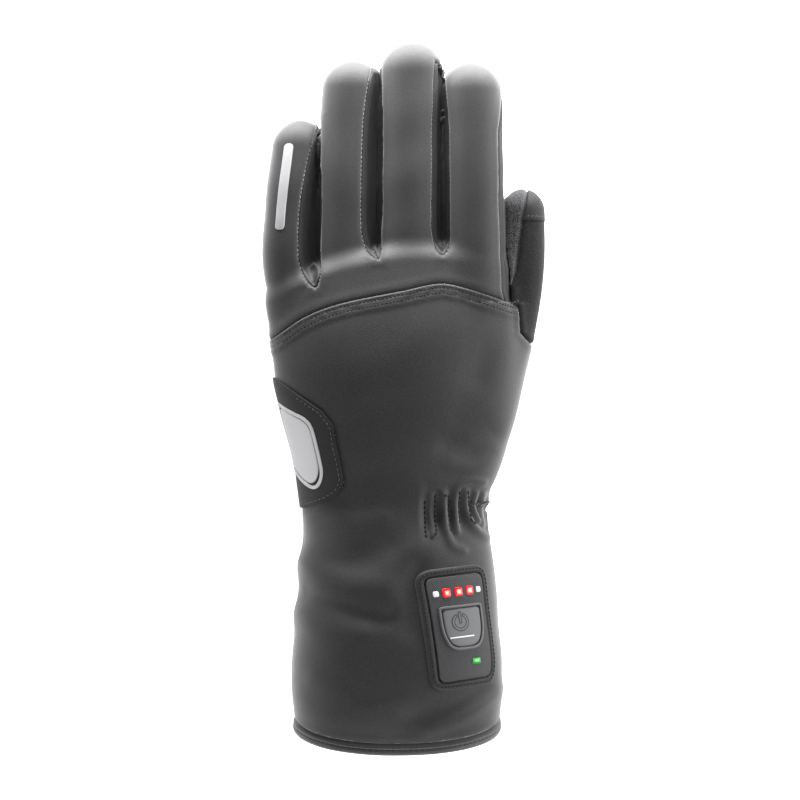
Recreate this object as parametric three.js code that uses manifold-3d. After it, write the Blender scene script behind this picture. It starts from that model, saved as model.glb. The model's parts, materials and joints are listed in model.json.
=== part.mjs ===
// A heated winter glove for the left hand, lying palm down with its fingers along +Y and +Z up.
// The shell is hollow and sewn from panels: backs, palm, finger gussets, thumb halves and cuff.
// On it sit a side patch, reflectors, a hem binding and the control unit of the heating.
import * as THREE from 'three';
import { mergeVertices } from 'three/addons/utils/BufferGeometryUtils.js';
import Module from 'manifold-3d';

const wasm = await Module();
wasm.setup();

// Driving sizes, in millimetres

const CUFF_LENGTH = 89.5; // hem to the narrowest line of the wrist
const CUFF_WIDTH = 90;
const CUFF_DEPTH = 62;
const WRIST_WIDTH = 79;
const WRIST_DEPTH = 50;
const PALM_LENGTH = 112; // wrist to the webs between the fingers
const KNUCKLE_WIDTH = 101;
const KNUCKLE_DEPTH = 45;

const SHELL_WALL = 2.2; // softshell with its insulation
const SEAM_GAP = 0.35; // clear gap between sewn panels
const SEAT_GAP = 0.3; // clear gap under pieces that lie on the shell

const MIDDLE_FINGER_LENGTH = 107.2; // from the fingers' roots to the longest tip
const FINGER_DEPTH = 24;
const ROOT_HEIGHT = 22; // middle of the fingers above the table, where they leave the palm
const TIP_HEIGHT = 12.5; // the same at the longest fingertip
const HAND_TILT = 0.05; // rise of the fingers per millimetre towards the thumb
const WEB_ARC = 10; // how far the webs fall back at the little finger
const WEB_ROUND = 6; // rounding of the palm's end
const HEM_LEAN = 15; // how much further the hem reaches on the back of the hand

const THUMB_LENGTH = 134; // from inside the heel of the hand to the tip
const THUMB_WIDTH = 19;
const THUMB_DEPTH = 21.5;
const THUMB_ROOT_HEIGHT = 20; // middle of the thumb above the table
const THUMB_TIP_HEIGHT = 10.2;

const GATHER_FOLDS = 6; // folds that the wrist elastic draws up
const GATHER_HEIGHT = 1.8;
const GATHER_LENGTH = 22;

const BINDING_HEIGHT = 4.4;
const BINDING_PROUD = 0.5;

const PATCH_THICKNESS = 1.1; // patch on the little finger's side of the hand
const PRINT_THICKNESS = 0.4; // reflective film
const EMBLEM_WIDTH = 28; // reflector on the side patch
const EMBLEM_LENGTH = 38;
const EMBLEM_TILT = -51; // degrees that it leans to the little finger's side
const EMBLEM_BAND = 1.5;
const EMBLEM_GROOVE = 1.1; // bare line between the band and the middle
const STRIPE_WIDTH = 4; // reflector on the little finger
const STRIPE_LENGTH = 37;
const TIP_PATCH_LENGTH = 11.5; // smooth patch at the end of the thumb
const TIP_PATCH_THICKNESS = 0.5;

const PANEL_WIDTH = 25.5; // face of the control unit
const PANEL_HEIGHT = 43;
const PANEL_CORNER = 3;
const PANEL_THICKNESS = 1.4;
const PANEL_BELOW_WRIST = 47.6;
const PANEL_TILT = 32; // degrees that the face leans to the thumb's side
const PANEL_DIP = 7; // degrees that it dips towards the wrist
const PANEL_TURN = 4; // degrees that it is turned on the cuff
const SURROUND_MARGIN = 3.8; // sewn frame round the face
const SURROUND_THICKNESS = 1.2;
const BUTTON_WIDTH = 19.8;
const BUTTON_HEIGHT = 18.6;
const BUTTON_CORNER = 1.8;
const BUTTON_RIM = 1.1;
const RIM_THICKNESS = 0.8;
const CAP_THICKNESS = 0.7;
const RED_LAMP_WIDTH = 2.8;
const RED_LAMP_HEIGHT = 3.2;
const WHITE_LAMP = 2.3;
const GREEN_LAMP_LENGTH = 4;
const GREEN_LAMP_WIDTH = 2.4;
const LAMP_THICKNESS = 0.6;
const LAMP_PITCH = 5.2;

// Places along +Y, from the hem

const WRIST = CUFF_LENGTH;
const WEBS = WRIST + PALM_LENGTH;
const FINGER_ROOT = WRIST + 0.845 * PALM_LENGTH;

// Sections of the hand from hem to webs, in shares of the length, width and depth of their part. The middle
// is how far the section stands towards the thumb, back and under are the heights of its two sides; the
// underside lies a little below the table, which cuts it flat.
const PARTS = {
  cuff: { start: 0, length: CUFF_LENGTH, width: CUFF_WIDTH, depth: CUFF_DEPTH },
  wrist: { start: WRIST, length: PALM_LENGTH, width: WRIST_WIDTH, depth: WRIST_DEPTH },
  palm: { start: WRIST, length: PALM_LENGTH, width: KNUCKLE_WIDTH, depth: KNUCKLE_DEPTH },
};
const HAND_ROWS = [
  { part: 'cuff', along: 0, width: 0.97, middle: -0.017, back: 0.94, under: -0.02 },
  { part: 'cuff', along: 0.16, width: 1, middle: -0.02, back: 1, under: -0.02 },
  { part: 'cuff', along: 0.42, width: 0.97, middle: -0.02, back: 0.98, under: -0.02 },
  { part: 'cuff', along: 0.7, width: 0.93, middle: -0.022, back: 0.91, under: -0.02 },
  { part: 'wrist', along: 0, width: 1, middle: -0.036, back: 1, under: -0.012 },
  { part: 'wrist', along: 0.12, width: 1.033, middle: -0.036, back: 0.99, under: -0.012 },
  { part: 'palm', along: 0.27, width: 0.865, middle: -0.028, back: 1.08, under: -0.01 },
  { part: 'palm', along: 0.42, width: 0.925, middle: -0.036, back: 1.07, under: 0.02 },
  { part: 'palm', along: 0.58, width: 0.97, middle: -0.046, back: 1.04, under: 0.06 },
  { part: 'palm', along: 0.69, width: 0.99, middle: -0.048, back: 1, under: 0.1 },
  { part: 'palm', along: 0.82, width: 1, middle: -0.058, back: 0.92, under: 0.16 },
  { part: 'palm', along: 1, width: 1, middle: -0.066, back: 0.81, under: 0.21 },
];
const HAND_SECTIONS = HAND_ROWS.map((row) => {
  const part = PARTS[row.part];
  return {
    along: part.start + row.along * part.length,
    width: row.width * part.width,
    middle: row.middle * part.width,
    back: row.back * part.depth,
    under: row.under * part.depth,
  };
});

// The fingers: where each leaves the palm and ends, its bow sideways and its width, as shares of the
// knuckles' width, and its length and depth as shares of the middle finger's.
const FINGER_ROWS = [
  { root: -0.457, tip: -0.43, length: 0.677, bow: -0.028, fall: 2, width: 0.224, depth: 0.917 },
  { root: -0.222, tip: -0.207, length: 0.925, bow: -0.012, fall: 1, width: 0.248, depth: 1 },
  { root: 0.039, tip: 0.05, length: 1, bow: -0.004, fall: 1, width: 0.267, depth: 1.02 },
  { root: 0.307, tip: 0.297, length: 0.914, bow: 0.004, fall: 1, width: 0.254, depth: 1 },
];
// Where the two seams of each finger's back panel run, as shares of the finger's width.
const BACK_SEAMS = [[-0.5, 0.2], [-0.47, 0.26], [-0.47, 0.35], [-0.42, 0.47]];
const FINGERS = FINGER_ROWS.map((row, i) => ({
  root: row.root * KNUCKLE_WIDTH,
  tip: row.tip * KNUCKLE_WIDTH,
  length: row.length * MIDDLE_FINGER_LENGTH,
  bow: row.bow * KNUCKLE_WIDTH,
  fall: row.fall,
  width: row.width * KNUCKLE_WIDTH,
  depth: row.depth * FINGER_DEPTH,
  seams: BACK_SEAMS[i],
}));
const LONGEST_FINGER = Math.max(...FINGERS.map((finger) => finger.length));
const FINGER_SINK = 18; // length of each finger's tube inside the palm

// Shares of a finger's width and depth along its length, up to its round tip.
const FINGER_SECTIONS = [
  { along: 0, width: 1.06, depth: 1 },
  { along: 0.25, width: 1, depth: 1 },
  { along: 0.5, width: 0.99, depth: 1 },
  { along: 0.75, width: 1, depth: 0.99 },
  { along: 1, width: 0.99, depth: 0.95 },
];

// Height of the fingers' middle line from the roots to the longest tip, as shares of its whole fall.
const FINGER_FALL = [
  { along: 0, fall: 0 },
  { along: 0.35, fall: 0.22 },
  { along: 0.68, fall: 0.66 },
  { along: 1, fall: 1 },
];

// The thumb, whose middle line sinks from the palm to the table, and the ball of the hand that joins it.
const THUMB = {
  root: 0.243 * KNUCKLE_WIDTH,
  tip: 0.517 * KNUCKLE_WIDTH,
  start: WRIST + 0.036 * PALM_LENGTH,
  length: THUMB_LENGTH,
  bow: 0.077 * KNUCKLE_WIDTH,
  rise: 1.5,
  width: THUMB_WIDTH,
  depth: THUMB_DEPTH,
};
const THUMB_SECTIONS = [
  { along: 0, width: 1.05, depth: 1.15, sink: 0 },
  { along: 0.2, width: 1.2, depth: 1.24, sink: 0.25 },
  { along: 0.35, width: 1.2, depth: 1.22, sink: 0.5 },
  { along: 0.52, width: 1.13, depth: 1.14, sink: 0.8 },
  { along: 0.7, width: 1.04, depth: 1.04, sink: 0.97 },
  { along: 0.85, width: 1, depth: 1, sink: 1 },
  { along: 1, width: 0.94, depth: 0.94, sink: 1 },
];
const BALL = {
  root: 0.228 * KNUCKLE_WIDTH,
  tip: 0.401 * KNUCKLE_WIDTH,
  start: WRIST + 0.018 * PALM_LENGTH,
  length: 0.7 * PALM_LENGTH,
  bow: 0.025 * KNUCKLE_WIDTH,
  width: 0.208 * KNUCKLE_WIDTH,
  depth: 0.6 * KNUCKLE_DEPTH,
  height: 0.49 * KNUCKLE_DEPTH,
};
const BALL_SECTIONS = [
  { along: 0, width: 0.9, depth: 1 },
  { along: 0.5, width: 1, depth: 1.05 },
  { along: 1, width: 0.9, depth: 0.8 },
];

const HAND_ROUNDNESS = 2.15; // 2 is an ellipse, more is squarer
const FINGER_ROUNDNESS = 2.1;
const WIDEST = 0.45; // share of the depth at which a section is widest

// Facets

const HAND_COLUMNS = 16; // round the section, outside the gathers
const FOLD_COLUMNS = 3; // for each fold of the gathers
const LINING_COLUMNS = 16;
const FINGER_COLUMNS = 12;
const LINING_FINGER_COLUMNS = 8;
const FAR = 200; // past the whole glove

// Small helpers

const rad = THREE.MathUtils.degToRad;
const clamp = THREE.MathUtils.clamp;
const lerp = THREE.MathUtils.lerp;
const smooth = (from, to, value) => THREE.MathUtils.smoothstep(value, from, to);
const halfGap = SEAM_GAP / 2;

// A column of a table at any place along it, on a smooth curve through the rows.
function follow(table, column, along) {
  const last = table.length - 1;
  const at = clamp(along, table[0].along, table[last].along);
  let i = 0;
  while (i < last - 1 && table[i + 1].along < at) i += 1;
  const slope = (k) => {
    const low = table[Math.max(k - 1, 0)];
    const high = table[Math.min(k + 1, last)];
    return (high[column] - low[column]) / (high.along - low.along);
  };
  const span = table[i + 1].along - table[i].along;
  const t = (at - table[i].along) / span;
  const ease = t * t * (3 - 2 * t);
  const rising = t * (1 - t) * (1 - t) * span * slope(i);
  const falling = t * t * (1 - t) * span * slope(i + 1);
  return table[i][column] * (1 - ease) + table[i + 1][column] * ease + rising - falling;
}

// A hump along a finger that is 0 at both ends and 1 at its peak.
function hump(t, rise = 1, fall = 1) {
  if (t <= 0 || t >= 1) return 0;
  const peak = rise / (rise + fall);
  return (t ** rise * (1 - t) ** fall) / (peak ** rise * (1 - peak) ** fall);
}

// The solid inside a closed surface, turned inside out first where its faces look inwards.
function solid(geometry) {
  const bare = geometry.clone();
  bare.deleteAttribute('normal');
  bare.deleteAttribute('uv');
  const merged = mergeVertices(bare, 1e-4);
  const vertProperties = merged.attributes.position.array;
  const triVerts = new Uint32Array(merged.index.array);
  const build = () => new wasm.Manifold(new wasm.Mesh({ numProp: 3, vertProperties, triVerts }));
  const made = build();
  if (made.volume() >= 0) return made;
  for (let i = 0; i < triVerts.length; i += 3) {
    [triVerts[i + 1], triVerts[i + 2]] = [triVerts[i + 2], triVerts[i + 1]];
  }
  return build();
}

// Solid through closed rings of points, all with as many points.
function loft(rings) {
  const columns = rings[0].length;
  const points = rings.flat();
  const faces = [];
  for (let r = 0; r + 1 < rings.length; r += 1) {
    for (let c = 0; c < columns; c += 1) {
      const a = r * columns + c;
      const b = r * columns + ((c + 1) % columns);
      faces.push(a, b, b + columns, a, b + columns, a + columns);
    }
  }
  const middleOf = (ring) => ring.reduce((sum, p) => sum.add(p), new THREE.Vector3()).divideScalar(columns);
  const first = points.push(middleOf(rings[0])) - 1;
  const last = points.push(middleOf(rings.at(-1))) - 1;
  const top = (rings.length - 1) * columns;
  for (let c = 0; c < columns; c += 1) {
    const next = (c + 1) % columns;
    faces.push(first, next, c, last, top + c, top + next);
  }
  return solid(new THREE.BufferGeometry().setFromPoints(points).setIndex(faces));
}

// An outline in the plane of a frame, run along the frame's own z axis.
function prism(shape, from = -FAR, to = FAR, frame = new THREE.Matrix4()) {
  const settings = { depth: to - from, bevelEnabled: false, curveSegments: 3 };
  const geometry = new THREE.ExtrudeGeometry(shape, settings);
  geometry.translate(0, 0, from);
  geometry.applyMatrix4(frame);
  return solid(geometry);
}

const outline = (points) => new THREE.Shape(points.map(([x, y]) => new THREE.Vector2(x, y)));

// A polygon with its corners rounded.
function roundedOutline(points, radius) {
  const corners = points.map(([x, y]) => new THREE.Vector2(x, y));
  const shape = new THREE.Shape();
  corners.forEach((corner, i) => {
    const towards = (other) => {
      const reach = Math.min(radius, other.distanceTo(corner) / 2);
      return other.clone().sub(corner).setLength(reach).add(corner);
    };
    const into = towards(corners.at(i - 1));
    const out = towards(corners[(i + 1) % corners.length]);
    if (i === 0) shape.moveTo(into.x, into.y);
    else shape.lineTo(into.x, into.y);
    shape.quadraticCurveTo(corner.x, corner.y, out.x, out.y);
  });
  return shape;
}

function rectangle(width, height, radius, u = 0, v = 0) {
  const [left, right] = [u - width / 2, u + width / 2];
  const [low, high] = [v - height / 2, v + height / 2];
  return roundedOutline([[left, low], [right, low], [right, high], [left, high]], radius);
}

// The largest body of a solid, without the slivers that a cut along a curved wall can leave.
function mainBody(cut) {
  return cut.decompose().reduce((best, body) => (body.volume() > best.volume() ? body : best));
}

// The main form

// Angles round the hand's section, close together where the elastic gathers it.
const GATHER_FROM = rad(2);
const GATHER_TO = rad(68);
function handAngles() {
  const folded = GATHER_FOLDS * FOLD_COLUMNS;
  const angles = [];
  for (let i = 0; i < folded; i += 1) angles.push(lerp(GATHER_FROM, GATHER_TO, i / folded));
  const rest = 2 * Math.PI - (GATHER_TO - GATHER_FROM);
  for (let i = 0; i < HAND_COLUMNS; i += 1) angles.push(GATHER_TO + (rest * i) / HAND_COLUMNS);
  return angles;
}
const evenAngles = (count) => Array.from({ length: count }, (_, i) => (2 * Math.PI * i) / count);

// Height of the wrist folds over the plain section.
function gather(angle, along) {
  if (angle < GATHER_FROM || angle > GATHER_TO) return 0;
  const across = (angle - GATHER_FROM) / (GATHER_TO - GATHER_FROM);
  const wave = Math.sin(Math.PI * GATHER_FOLDS * across) ** 2;
  const middle = WRIST - 0.15 * GATHER_LENGTH;
  const reach = 1 - smooth(0.3 * GATHER_LENGTH, 0.62 * GATHER_LENGTH, Math.abs(along - middle));
  return GATHER_HEIGHT * (wave - 0.5) * reach;
}

function superellipse(angle, power) {
  const c = Math.cos(angle);
  const s = Math.sin(angle);
  const scale = (Math.abs(c) ** power + Math.abs(s) ** power) ** (-1 / power);
  return [c * scale, s * scale];
}

// One section of the hand, grown outwards by grow, as points of a ring.
function handRing(along, grow, angles) {
  const half = follow(HAND_SECTIONS, 'width', along) / 2 + grow;
  const middle = follow(HAND_SECTIONS, 'middle', along);
  const back = follow(HAND_SECTIONS, 'back', along);
  const under = follow(HAND_SECTIONS, 'under', along);
  const widest = lerp(under, back, WIDEST);
  const arc = WEB_ARC * smooth(WRIST, WEBS, along);
  const lean = HEM_LEAN * (1 - smooth(0, WRIST, along));
  return angles.map((angle) => {
    const [across, up] = superellipse(angle, HAND_ROUNDNESS);
    const fold = grow < 0 ? 0 : gather(angle, along);
    const height = (up > 0 ? back - widest : widest - under) + grow + fold;
    const x = middle + (half + fold) * across;
    const z = widest + height * up;
    const fromPeak = (x - 0.11 * KNUCKLE_WIDTH) / (KNUCKLE_WIDTH / 2);
    return new THREE.Vector3(x, along - arc * fromPeak ** 2 - lean * (z / CUFF_DEPTH - 0.5), z);
  });
}

// Places of the sections, closer together at the gathers.
const CUFF_PLACES = [0.16, 0.34, 0.52, 0.7].map((share) => share * CUFF_LENGTH);
const GATHER_PLACES = [-0.78, -0.46, -0.1, 0.26, 0.5].map((share) => WRIST + share * GATHER_LENGTH);
const PALM_PLACES = [0.24, 0.36, 0.5, 0.64, 0.78, 0.9].map((share) => WRIST + share * PALM_LENGTH);
const HAND_PLACES = [...CUFF_PLACES, ...GATHER_PLACES, ...PALM_PLACES];
const LINING_PLACES = [...CUFF_PLACES, WRIST, ...PALM_PLACES];

// The hand between two places, with a rounded end where it reaches the webs.
function hand(grow, angles, from = 0, to = WEBS) {
  const places = grow < 0 ? LINING_PLACES : HAND_PLACES;
  const inside = places.filter((place) => place > from + 1 && place < to - WEB_ROUND);
  const rings = [from, ...inside].map((along) => handRing(along, grow, angles));
  if (to < WEBS) return loft([...rings, handRing(to, grow, angles)]);
  for (const degrees of [0, 35, 65, 90]) {
    const shrink = WEB_ROUND * (1 - Math.cos(rad(degrees)));
    const place = to + grow - WEB_ROUND * (1 - Math.sin(rad(degrees)));
    rings.push(handRing(place, grow - shrink, angles));
  }
  return loft(rings);
}

function fingerHeight(y) {
  const t = clamp((y - FINGER_ROOT) / LONGEST_FINGER, 0, 1);
  return ROOT_HEIGHT - (ROOT_HEIGHT - TIP_HEIGHT) * follow(FINGER_FALL, 'fall', t);
}

// Middle line of a finger at a place along it.
function fingerPoint(finger, y) {
  const t = (y - FINGER_ROOT) / finger.length;
  const x = lerp(finger.root, finger.tip, clamp(t, 0, 1)) + finger.bow * hump(t, 1, finger.fall);
  return new THREE.Vector3(x, y, fingerHeight(y) + HAND_TILT * x);
}

function thumbPoint(t) {
  const x = lerp(THUMB.root, THUMB.tip, t) + THUMB.bow * hump(t, THUMB.rise);
  const sink = follow(THUMB_SECTIONS, 'sink', t);
  const z = lerp(THUMB_ROOT_HEIGHT, THUMB_TIP_HEIGHT, sink);
  return new THREE.Vector3(x, THUMB.start + t * THUMB.length, z);
}

function ballPoint(t) {
  const x = lerp(BALL.root, BALL.tip, t) + BALL.bow * hump(t);
  return new THREE.Vector3(x, BALL.start + t * BALL.length, BALL.height);
}

// A tube with a round tip along a middle line, grown outwards by grow.
const TUBE_SHARES = [0, 0.18, 0.36, 0.54, 0.72, 0.88, 1];
const TIP_DEGREES = [28, 54, 75];
const LINING_SHARES = [0, 0.25, 0.5, 0.75, 1];
const LINING_TIP_DEGREES = [45];
function digit(size, sections, pointAt, grow, columns) {
  const length = pointAt(0).distanceTo(pointAt(1));
  const tipStart = 1 - size.width / 2 / length;
  const angles = evenAngles(columns);
  const ringAt = (t, forward, scale) => {
    const step = 0.01;
    const before = Math.min(t, 1 - step);
    const direction = pointAt(before + step).sub(pointAt(before)).normalize();
    const side = direction.clone().cross(new THREE.Vector3(0, 0, 1)).normalize();
    const up = side.clone().cross(direction);
    const middle = pointAt(t).addScaledVector(direction, forward);
    const wide = ((size.width / 2) * follow(sections, 'width', t / tipStart) + grow) * scale;
    const deep = ((size.depth / 2) * follow(sections, 'depth', t / tipStart) + grow) * scale;
    return angles.map((angle) => {
      const [across, rise] = superellipse(angle, FINGER_ROUNDNESS);
      return middle.clone().addScaledVector(side, wide * across).addScaledVector(up, deep * rise);
    });
  };
  const rings = (grow < 0 ? LINING_SHARES : TUBE_SHARES).map((share) => ringAt(share * tipStart, 0, 1));
  const reach = size.width / 2 + grow;
  for (const degrees of grow < 0 ? LINING_TIP_DEGREES : TIP_DEGREES) {
    rings.push(ringAt(tipStart, reach * Math.sin(rad(degrees)), Math.cos(rad(degrees))));
  }
  rings.push(ringAt(tipStart, reach, 0.05));
  return loft(rings);
}

function fingerTube(finger, grow, columns) {
  const start = FINGER_ROOT - FINGER_SINK;
  const pointAt = (t) => fingerPoint(finger, start + t * (finger.length + FINGER_SINK));
  return digit(finger, FINGER_SECTIONS, pointAt, grow, columns);
}
const thumbTube = (grow, columns) => digit(THUMB, THUMB_SECTIONS, thumbPoint, grow, columns);
const ballTube = (grow, columns) => digit(BALL, BALL_SECTIONS, ballPoint, grow, columns);

function wholeForm(grow, palm, columns) {
  const tubes = FINGERS.map((finger) => fingerTube(finger, grow, columns));
  return wasm.Manifold.union([palm, thumbTube(grow, columns), ballTube(grow, columns), ...tubes]);
}

const field = [[-FAR, -FAR], [FAR, -FAR], [FAR, 3 * FAR], [-FAR, 3 * FAR]];
const above = (height) => prism(outline(field), height);
const beyond = (place) => prism(outline([[-FAR, place], [FAR, place], ...field.slice(2)]));

// The hollow for the hand, open past the hem, and the shell round it, flat where it lies on the table.
const liningPalm = hand(-SHELL_WALL, evenAngles(LINING_COLUMNS), -3 * BINDING_HEIGHT);
const hollow = wholeForm(-SHELL_WALL, liningPalm, LINING_FINGER_COLUMNS).intersect(above(SHELL_WALL));
const shell = wholeForm(0, hand(0, handAngles()), FINGER_COLUMNS).intersect(above(0)).subtract(hollow);

// Seams between the panels

// Heights of the seam between the backs and the palm, and of the one along the top of the gussets.
const PALM_SEAM_DROP = 0.2 * FINGER_DEPTH; // below the fingers' middle line
const GUSSET_SEAM_RISE = 0.24 * FINGER_DEPTH; // above it
const HAND_SEAM = [
  { along: 0, height: 0.36 * CUFF_DEPTH },
  { along: 0.6 * CUFF_LENGTH, height: 0.36 * CUFF_DEPTH },
  { along: WRIST, height: 0.4 * WRIST_DEPTH },
  { along: FINGER_ROOT, height: ROOT_HEIGHT - PALM_SEAM_DROP },
];
function palmSeam(y) {
  return y < FINGER_ROOT ? follow(HAND_SEAM, 'height', y) : fingerHeight(y) - PALM_SEAM_DROP;
}
const gussetSeam = (y) => fingerHeight(y) + GUSSET_SEAM_RISE;

// The space below such a line of heights, shifted by lift and tilted with the hand.
function spaceBelow(heightAt, lift) {
  const behind = [-1, 0, 0.3, 0.6, 0.9, 1.1, 1.3, 1.5, 1.7].map((share) => (share * FINGER_ROOT) / 1.9);
  const shares = [0, 0.15, 0.3, 0.45, 0.6, 0.75, 0.9, 1.05, 3];
  const ahead = shares.map((share) => FINGER_ROOT + share * LONGEST_FINGER);
  const line = [...behind, ...ahead].map((y) => [y, heightAt(y) + lift]);
  const shape = outline([[behind[0], -FAR], [ahead.at(-1), -FAR], ...line.reverse()]);
  const frame = new THREE.Matrix4().makeBasis(
    new THREE.Vector3(0, 1, 0),
    new THREE.Vector3(0, 0, 1),
    new THREE.Vector3(1, 0, HAND_TILT),
  );
  return prism(shape, -FAR, FAR, frame);
}
const belowPalmSeam = (lift) => spaceBelow(palmSeam, lift);
const belowGussetSeam = (lift) => spaceBelow(gussetSeam, lift);

// The arched seam across the back of the hand, as shares of the knuckles' width and the palm's length.
const KNUCKLE_SEAM = [
  { across: -0.7, along: 0.58 },
  { across: -0.54, along: 0.653 },
  { across: -0.41, along: 0.728 },
  { across: -0.26, along: 0.779 },
  { across: 0.009, along: 0.829 },
  { across: 0.153, along: 0.856 },
  { across: 0.235, along: 0.848 },
  { across: 0.455, along: 0.789 },
  { across: 0.8, along: 0.7 },
];
const onHand = (row) => [row.across * KNUCKLE_WIDTH, WRIST + row.along * PALM_LENGTH];
function towardsFingers(shift) {
  const knots = KNUCKLE_SEAM.map(onHand).map(([x, y]) => new THREE.Vector2(x, y + shift));
  const line = new THREE.SplineCurve(knots).getPoints(16).map((p) => [p.x, p.y]);
  const corners = [[FAR, line.at(-1)[1]], [FAR, 3 * FAR], [-FAR, 3 * FAR], [-FAR, line[0][1]]];
  return prism(outline([...line, ...corners]));
}

// The gussets between the fingers, and the point of the web where the back panels of both fingers meet.
const webAt = (across, along) => [across * KNUCKLE_WIDTH, FINGER_ROOT + along * PALM_LENGTH];
const GUSSETS = [
  { name: 'gusset_little_ring', left: FINGERS[0], right: FINGERS[1], web: webAt(-0.362, 0) },
  { name: 'gusset_ring_middle', left: FINGERS[1], right: FINGERS[2], web: webAt(-0.093, 0.107) },
  { name: 'gusset_middle_index', left: FINGERS[2], right: FINGERS[3], web: webAt(0.175, 0.125) },
];
const GUSSET_END = 0.36; // from a gusset's end to the shorter fingertip, in finger widths
const GUSSET_OVERLAP = 0.12; // how far from a finger's middle line its gusset may reach, in finger widths

const beside = (finger, share, shift) => (y) => [fingerPoint(finger, y).x + share * finger.width + shift, y];

// Space of a gusset: a leaf between two sewing lines that meet at the web, and the fingers' sides below it.
function gussetSpace(gusset, grow) {
  const { left, right, web } = gusset;
  const shorter = left.length < right.length ? left : right;
  const end = FINGER_ROOT + shorter.length - GUSSET_END * shorter.width + grow;
  const places = [0.12, 0.3, 0.55, 0.8, 1].map((share) => lerp(web[1], end, share));
  const leafRight = places.map(beside(right, right.seams[0], grow));
  const leafLeft = places.map(beside(left, left.seams[1], -grow));
  const leaf = outline([[web[0], web[1] - grow], ...leafRight, ...leafLeft.reverse()]);
  places[0] = lerp(web[1], end, 0.03) - grow;
  const sideRight = places.map(beside(right, -GUSSET_OVERLAP, grow));
  const sideLeft = places.map(beside(left, GUSSET_OVERLAP, -grow));
  const inner = prism(outline([...sideRight, ...sideLeft.reverse()]));
  const sides = inner.intersect(belowGussetSeam(grow - halfGap));
  return prism(leaf).add(sides).subtract(belowPalmSeam(halfGap - grow));
}

// Space of the strip along the index finger's outer side, down to the thumb.
const SIDE_GUSSET_DROP = 13; // how far it reaches past the finger's root
function sideGussetSpace(grow) {
  const index = FINGERS[3];
  const end = FINGER_ROOT + index.length - GUSSET_END * index.width + grow;
  const start = FINGER_ROOT - SIDE_GUSSET_DROP - grow;
  const places = [0, 0.5, 1].map((share) => lerp(start, end, share));
  const inner = places.map(beside(index, GUSSET_OVERLAP, -grow));
  const strip = prism(outline([[FAR, start], [FAR, end], ...inner.reverse()]));
  return strip.intersect(belowGussetSeam(grow - halfGap)).subtract(belowPalmSeam(halfGap - grow));
}

// The thumb beyond the seam at its base.
const THUMB_SEAM = 0.54; // share of the thumb's length
const THUMB_SEAM_TURN = 38; // degrees that the seam turns back on the outside
function thumbSpace(grow) {
  const from = thumbPoint(THUMB_SEAM);
  const frame = new THREE.Matrix4().makeRotationZ(rad(-THUMB_SEAM_TURN)).setPosition(from.x, from.y, 0);
  const past = prism(outline([[-FAR, -grow], [FAR, -grow], [FAR, FAR], [-FAR, FAR]]), -FAR, FAR, frame);
  return thumbTube(0.05 + grow, FINGER_COLUMNS).intersect(past);
}

// Everything on the finger side of the thumb's middle seam.
function thumbInside(shift) {
  const knots = [0.4, 0.55, 0.7, 0.85, 1].map((t) => thumbPoint(t));
  const line = knots.map((p) => [p.x - 0.06 * THUMB.width + shift, p.y]);
  const [endX, endY] = line.at(-1);
  return prism(outline([[-FAR, line[0][1]], ...line, [endX, endY + FAR], [-FAR, endY + FAR]]));
}

// Pieces

const MATERIALS = {
  softshell: { color: 0x3a3b3d, roughness: 0.72, metalness: 0 },
  gripFabric: { color: 0x2c2c2d, roughness: 0.95, metalness: 0 },
  gussetFabric: { color: 0x2b2c2d, roughness: 0.85, metalness: 0 },
  trimFabric: { color: 0x2f3031, roughness: 0.6, metalness: 0 },
  patchFabric: { color: 0x3c3c3e, roughness: 0.6, metalness: 0 },
  reflectiveFilm: { color: 0xb9babb, roughness: 0.35, metalness: 0.3 },
  wovenPanel: { color: 0x404143, roughness: 0.55, metalness: 0 },
  buttonRubber: { color: 0x56585a, roughness: 0.5, metalness: 0 },
  redLamp: { color: 0xe01820, roughness: 0.2, metalness: 0 },
  greenLamp: { color: 0x25b030, roughness: 0.2, metalness: 0 },
  whiteLamp: { color: 0xf2f2f2, roughness: 0.4, metalness: 0 },
};
const glove = new THREE.Group();

function piece(name, made, material) {
  const mesh = mainBody(made).getMesh();
  const geometry = new THREE.BufferGeometry();
  geometry.setAttribute('position', new THREE.BufferAttribute(mesh.vertProperties, 3));
  geometry.setIndex(new THREE.BufferAttribute(mesh.triVerts, 1));
  const placed = new THREE.Mesh(geometry, new THREE.MeshStandardMaterial(MATERIALS[material]));
  placed.name = name;
  glove.add(placed);
}

// Sewn panels of the shell

const body = shell.subtract(thumbSpace(SEAM_GAP));
const gussetCuts = [...GUSSETS.map((gusset) => gussetSpace(gusset, SEAM_GAP)), sideGussetSpace(SEAM_GAP)];
const backs = body.subtract(belowPalmSeam(halfGap)).subtract(wasm.Manifold.union(gussetCuts));
const unders = body.intersect(belowPalmSeam(-halfGap));
const thumb = shell.intersect(thumbSpace(0));

piece('finger_back', backs.intersect(towardsFingers(halfGap)), 'softshell');
piece('hand_back', backs.subtract(towardsFingers(-halfGap)), 'softshell');
piece('palm', unders.intersect(beyond(WRIST + halfGap)), 'gripFabric');
piece('cuff_underside', unders.subtract(beyond(WRIST - halfGap)), 'softshell');
for (const gusset of GUSSETS) piece(gusset.name, body.intersect(gussetSpace(gusset, 0)), 'gussetFabric');
piece('gusset_index_side', body.intersect(sideGussetSpace(0)), 'gussetFabric');
piece('thumb_inner_half', thumb.intersect(thumbInside(-halfGap)), 'gripFabric');
piece('thumb_outer_half', thumb.subtract(thumbInside(halfGap)), 'gripFabric');

// Trims that lie on the shell

const binding = hand(BINDING_PROUD, handAngles(), -BINDING_HEIGHT, -SEAM_GAP);
piece('hem_binding', binding.subtract(hollow).intersect(above(0)), 'trimFabric');

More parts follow.
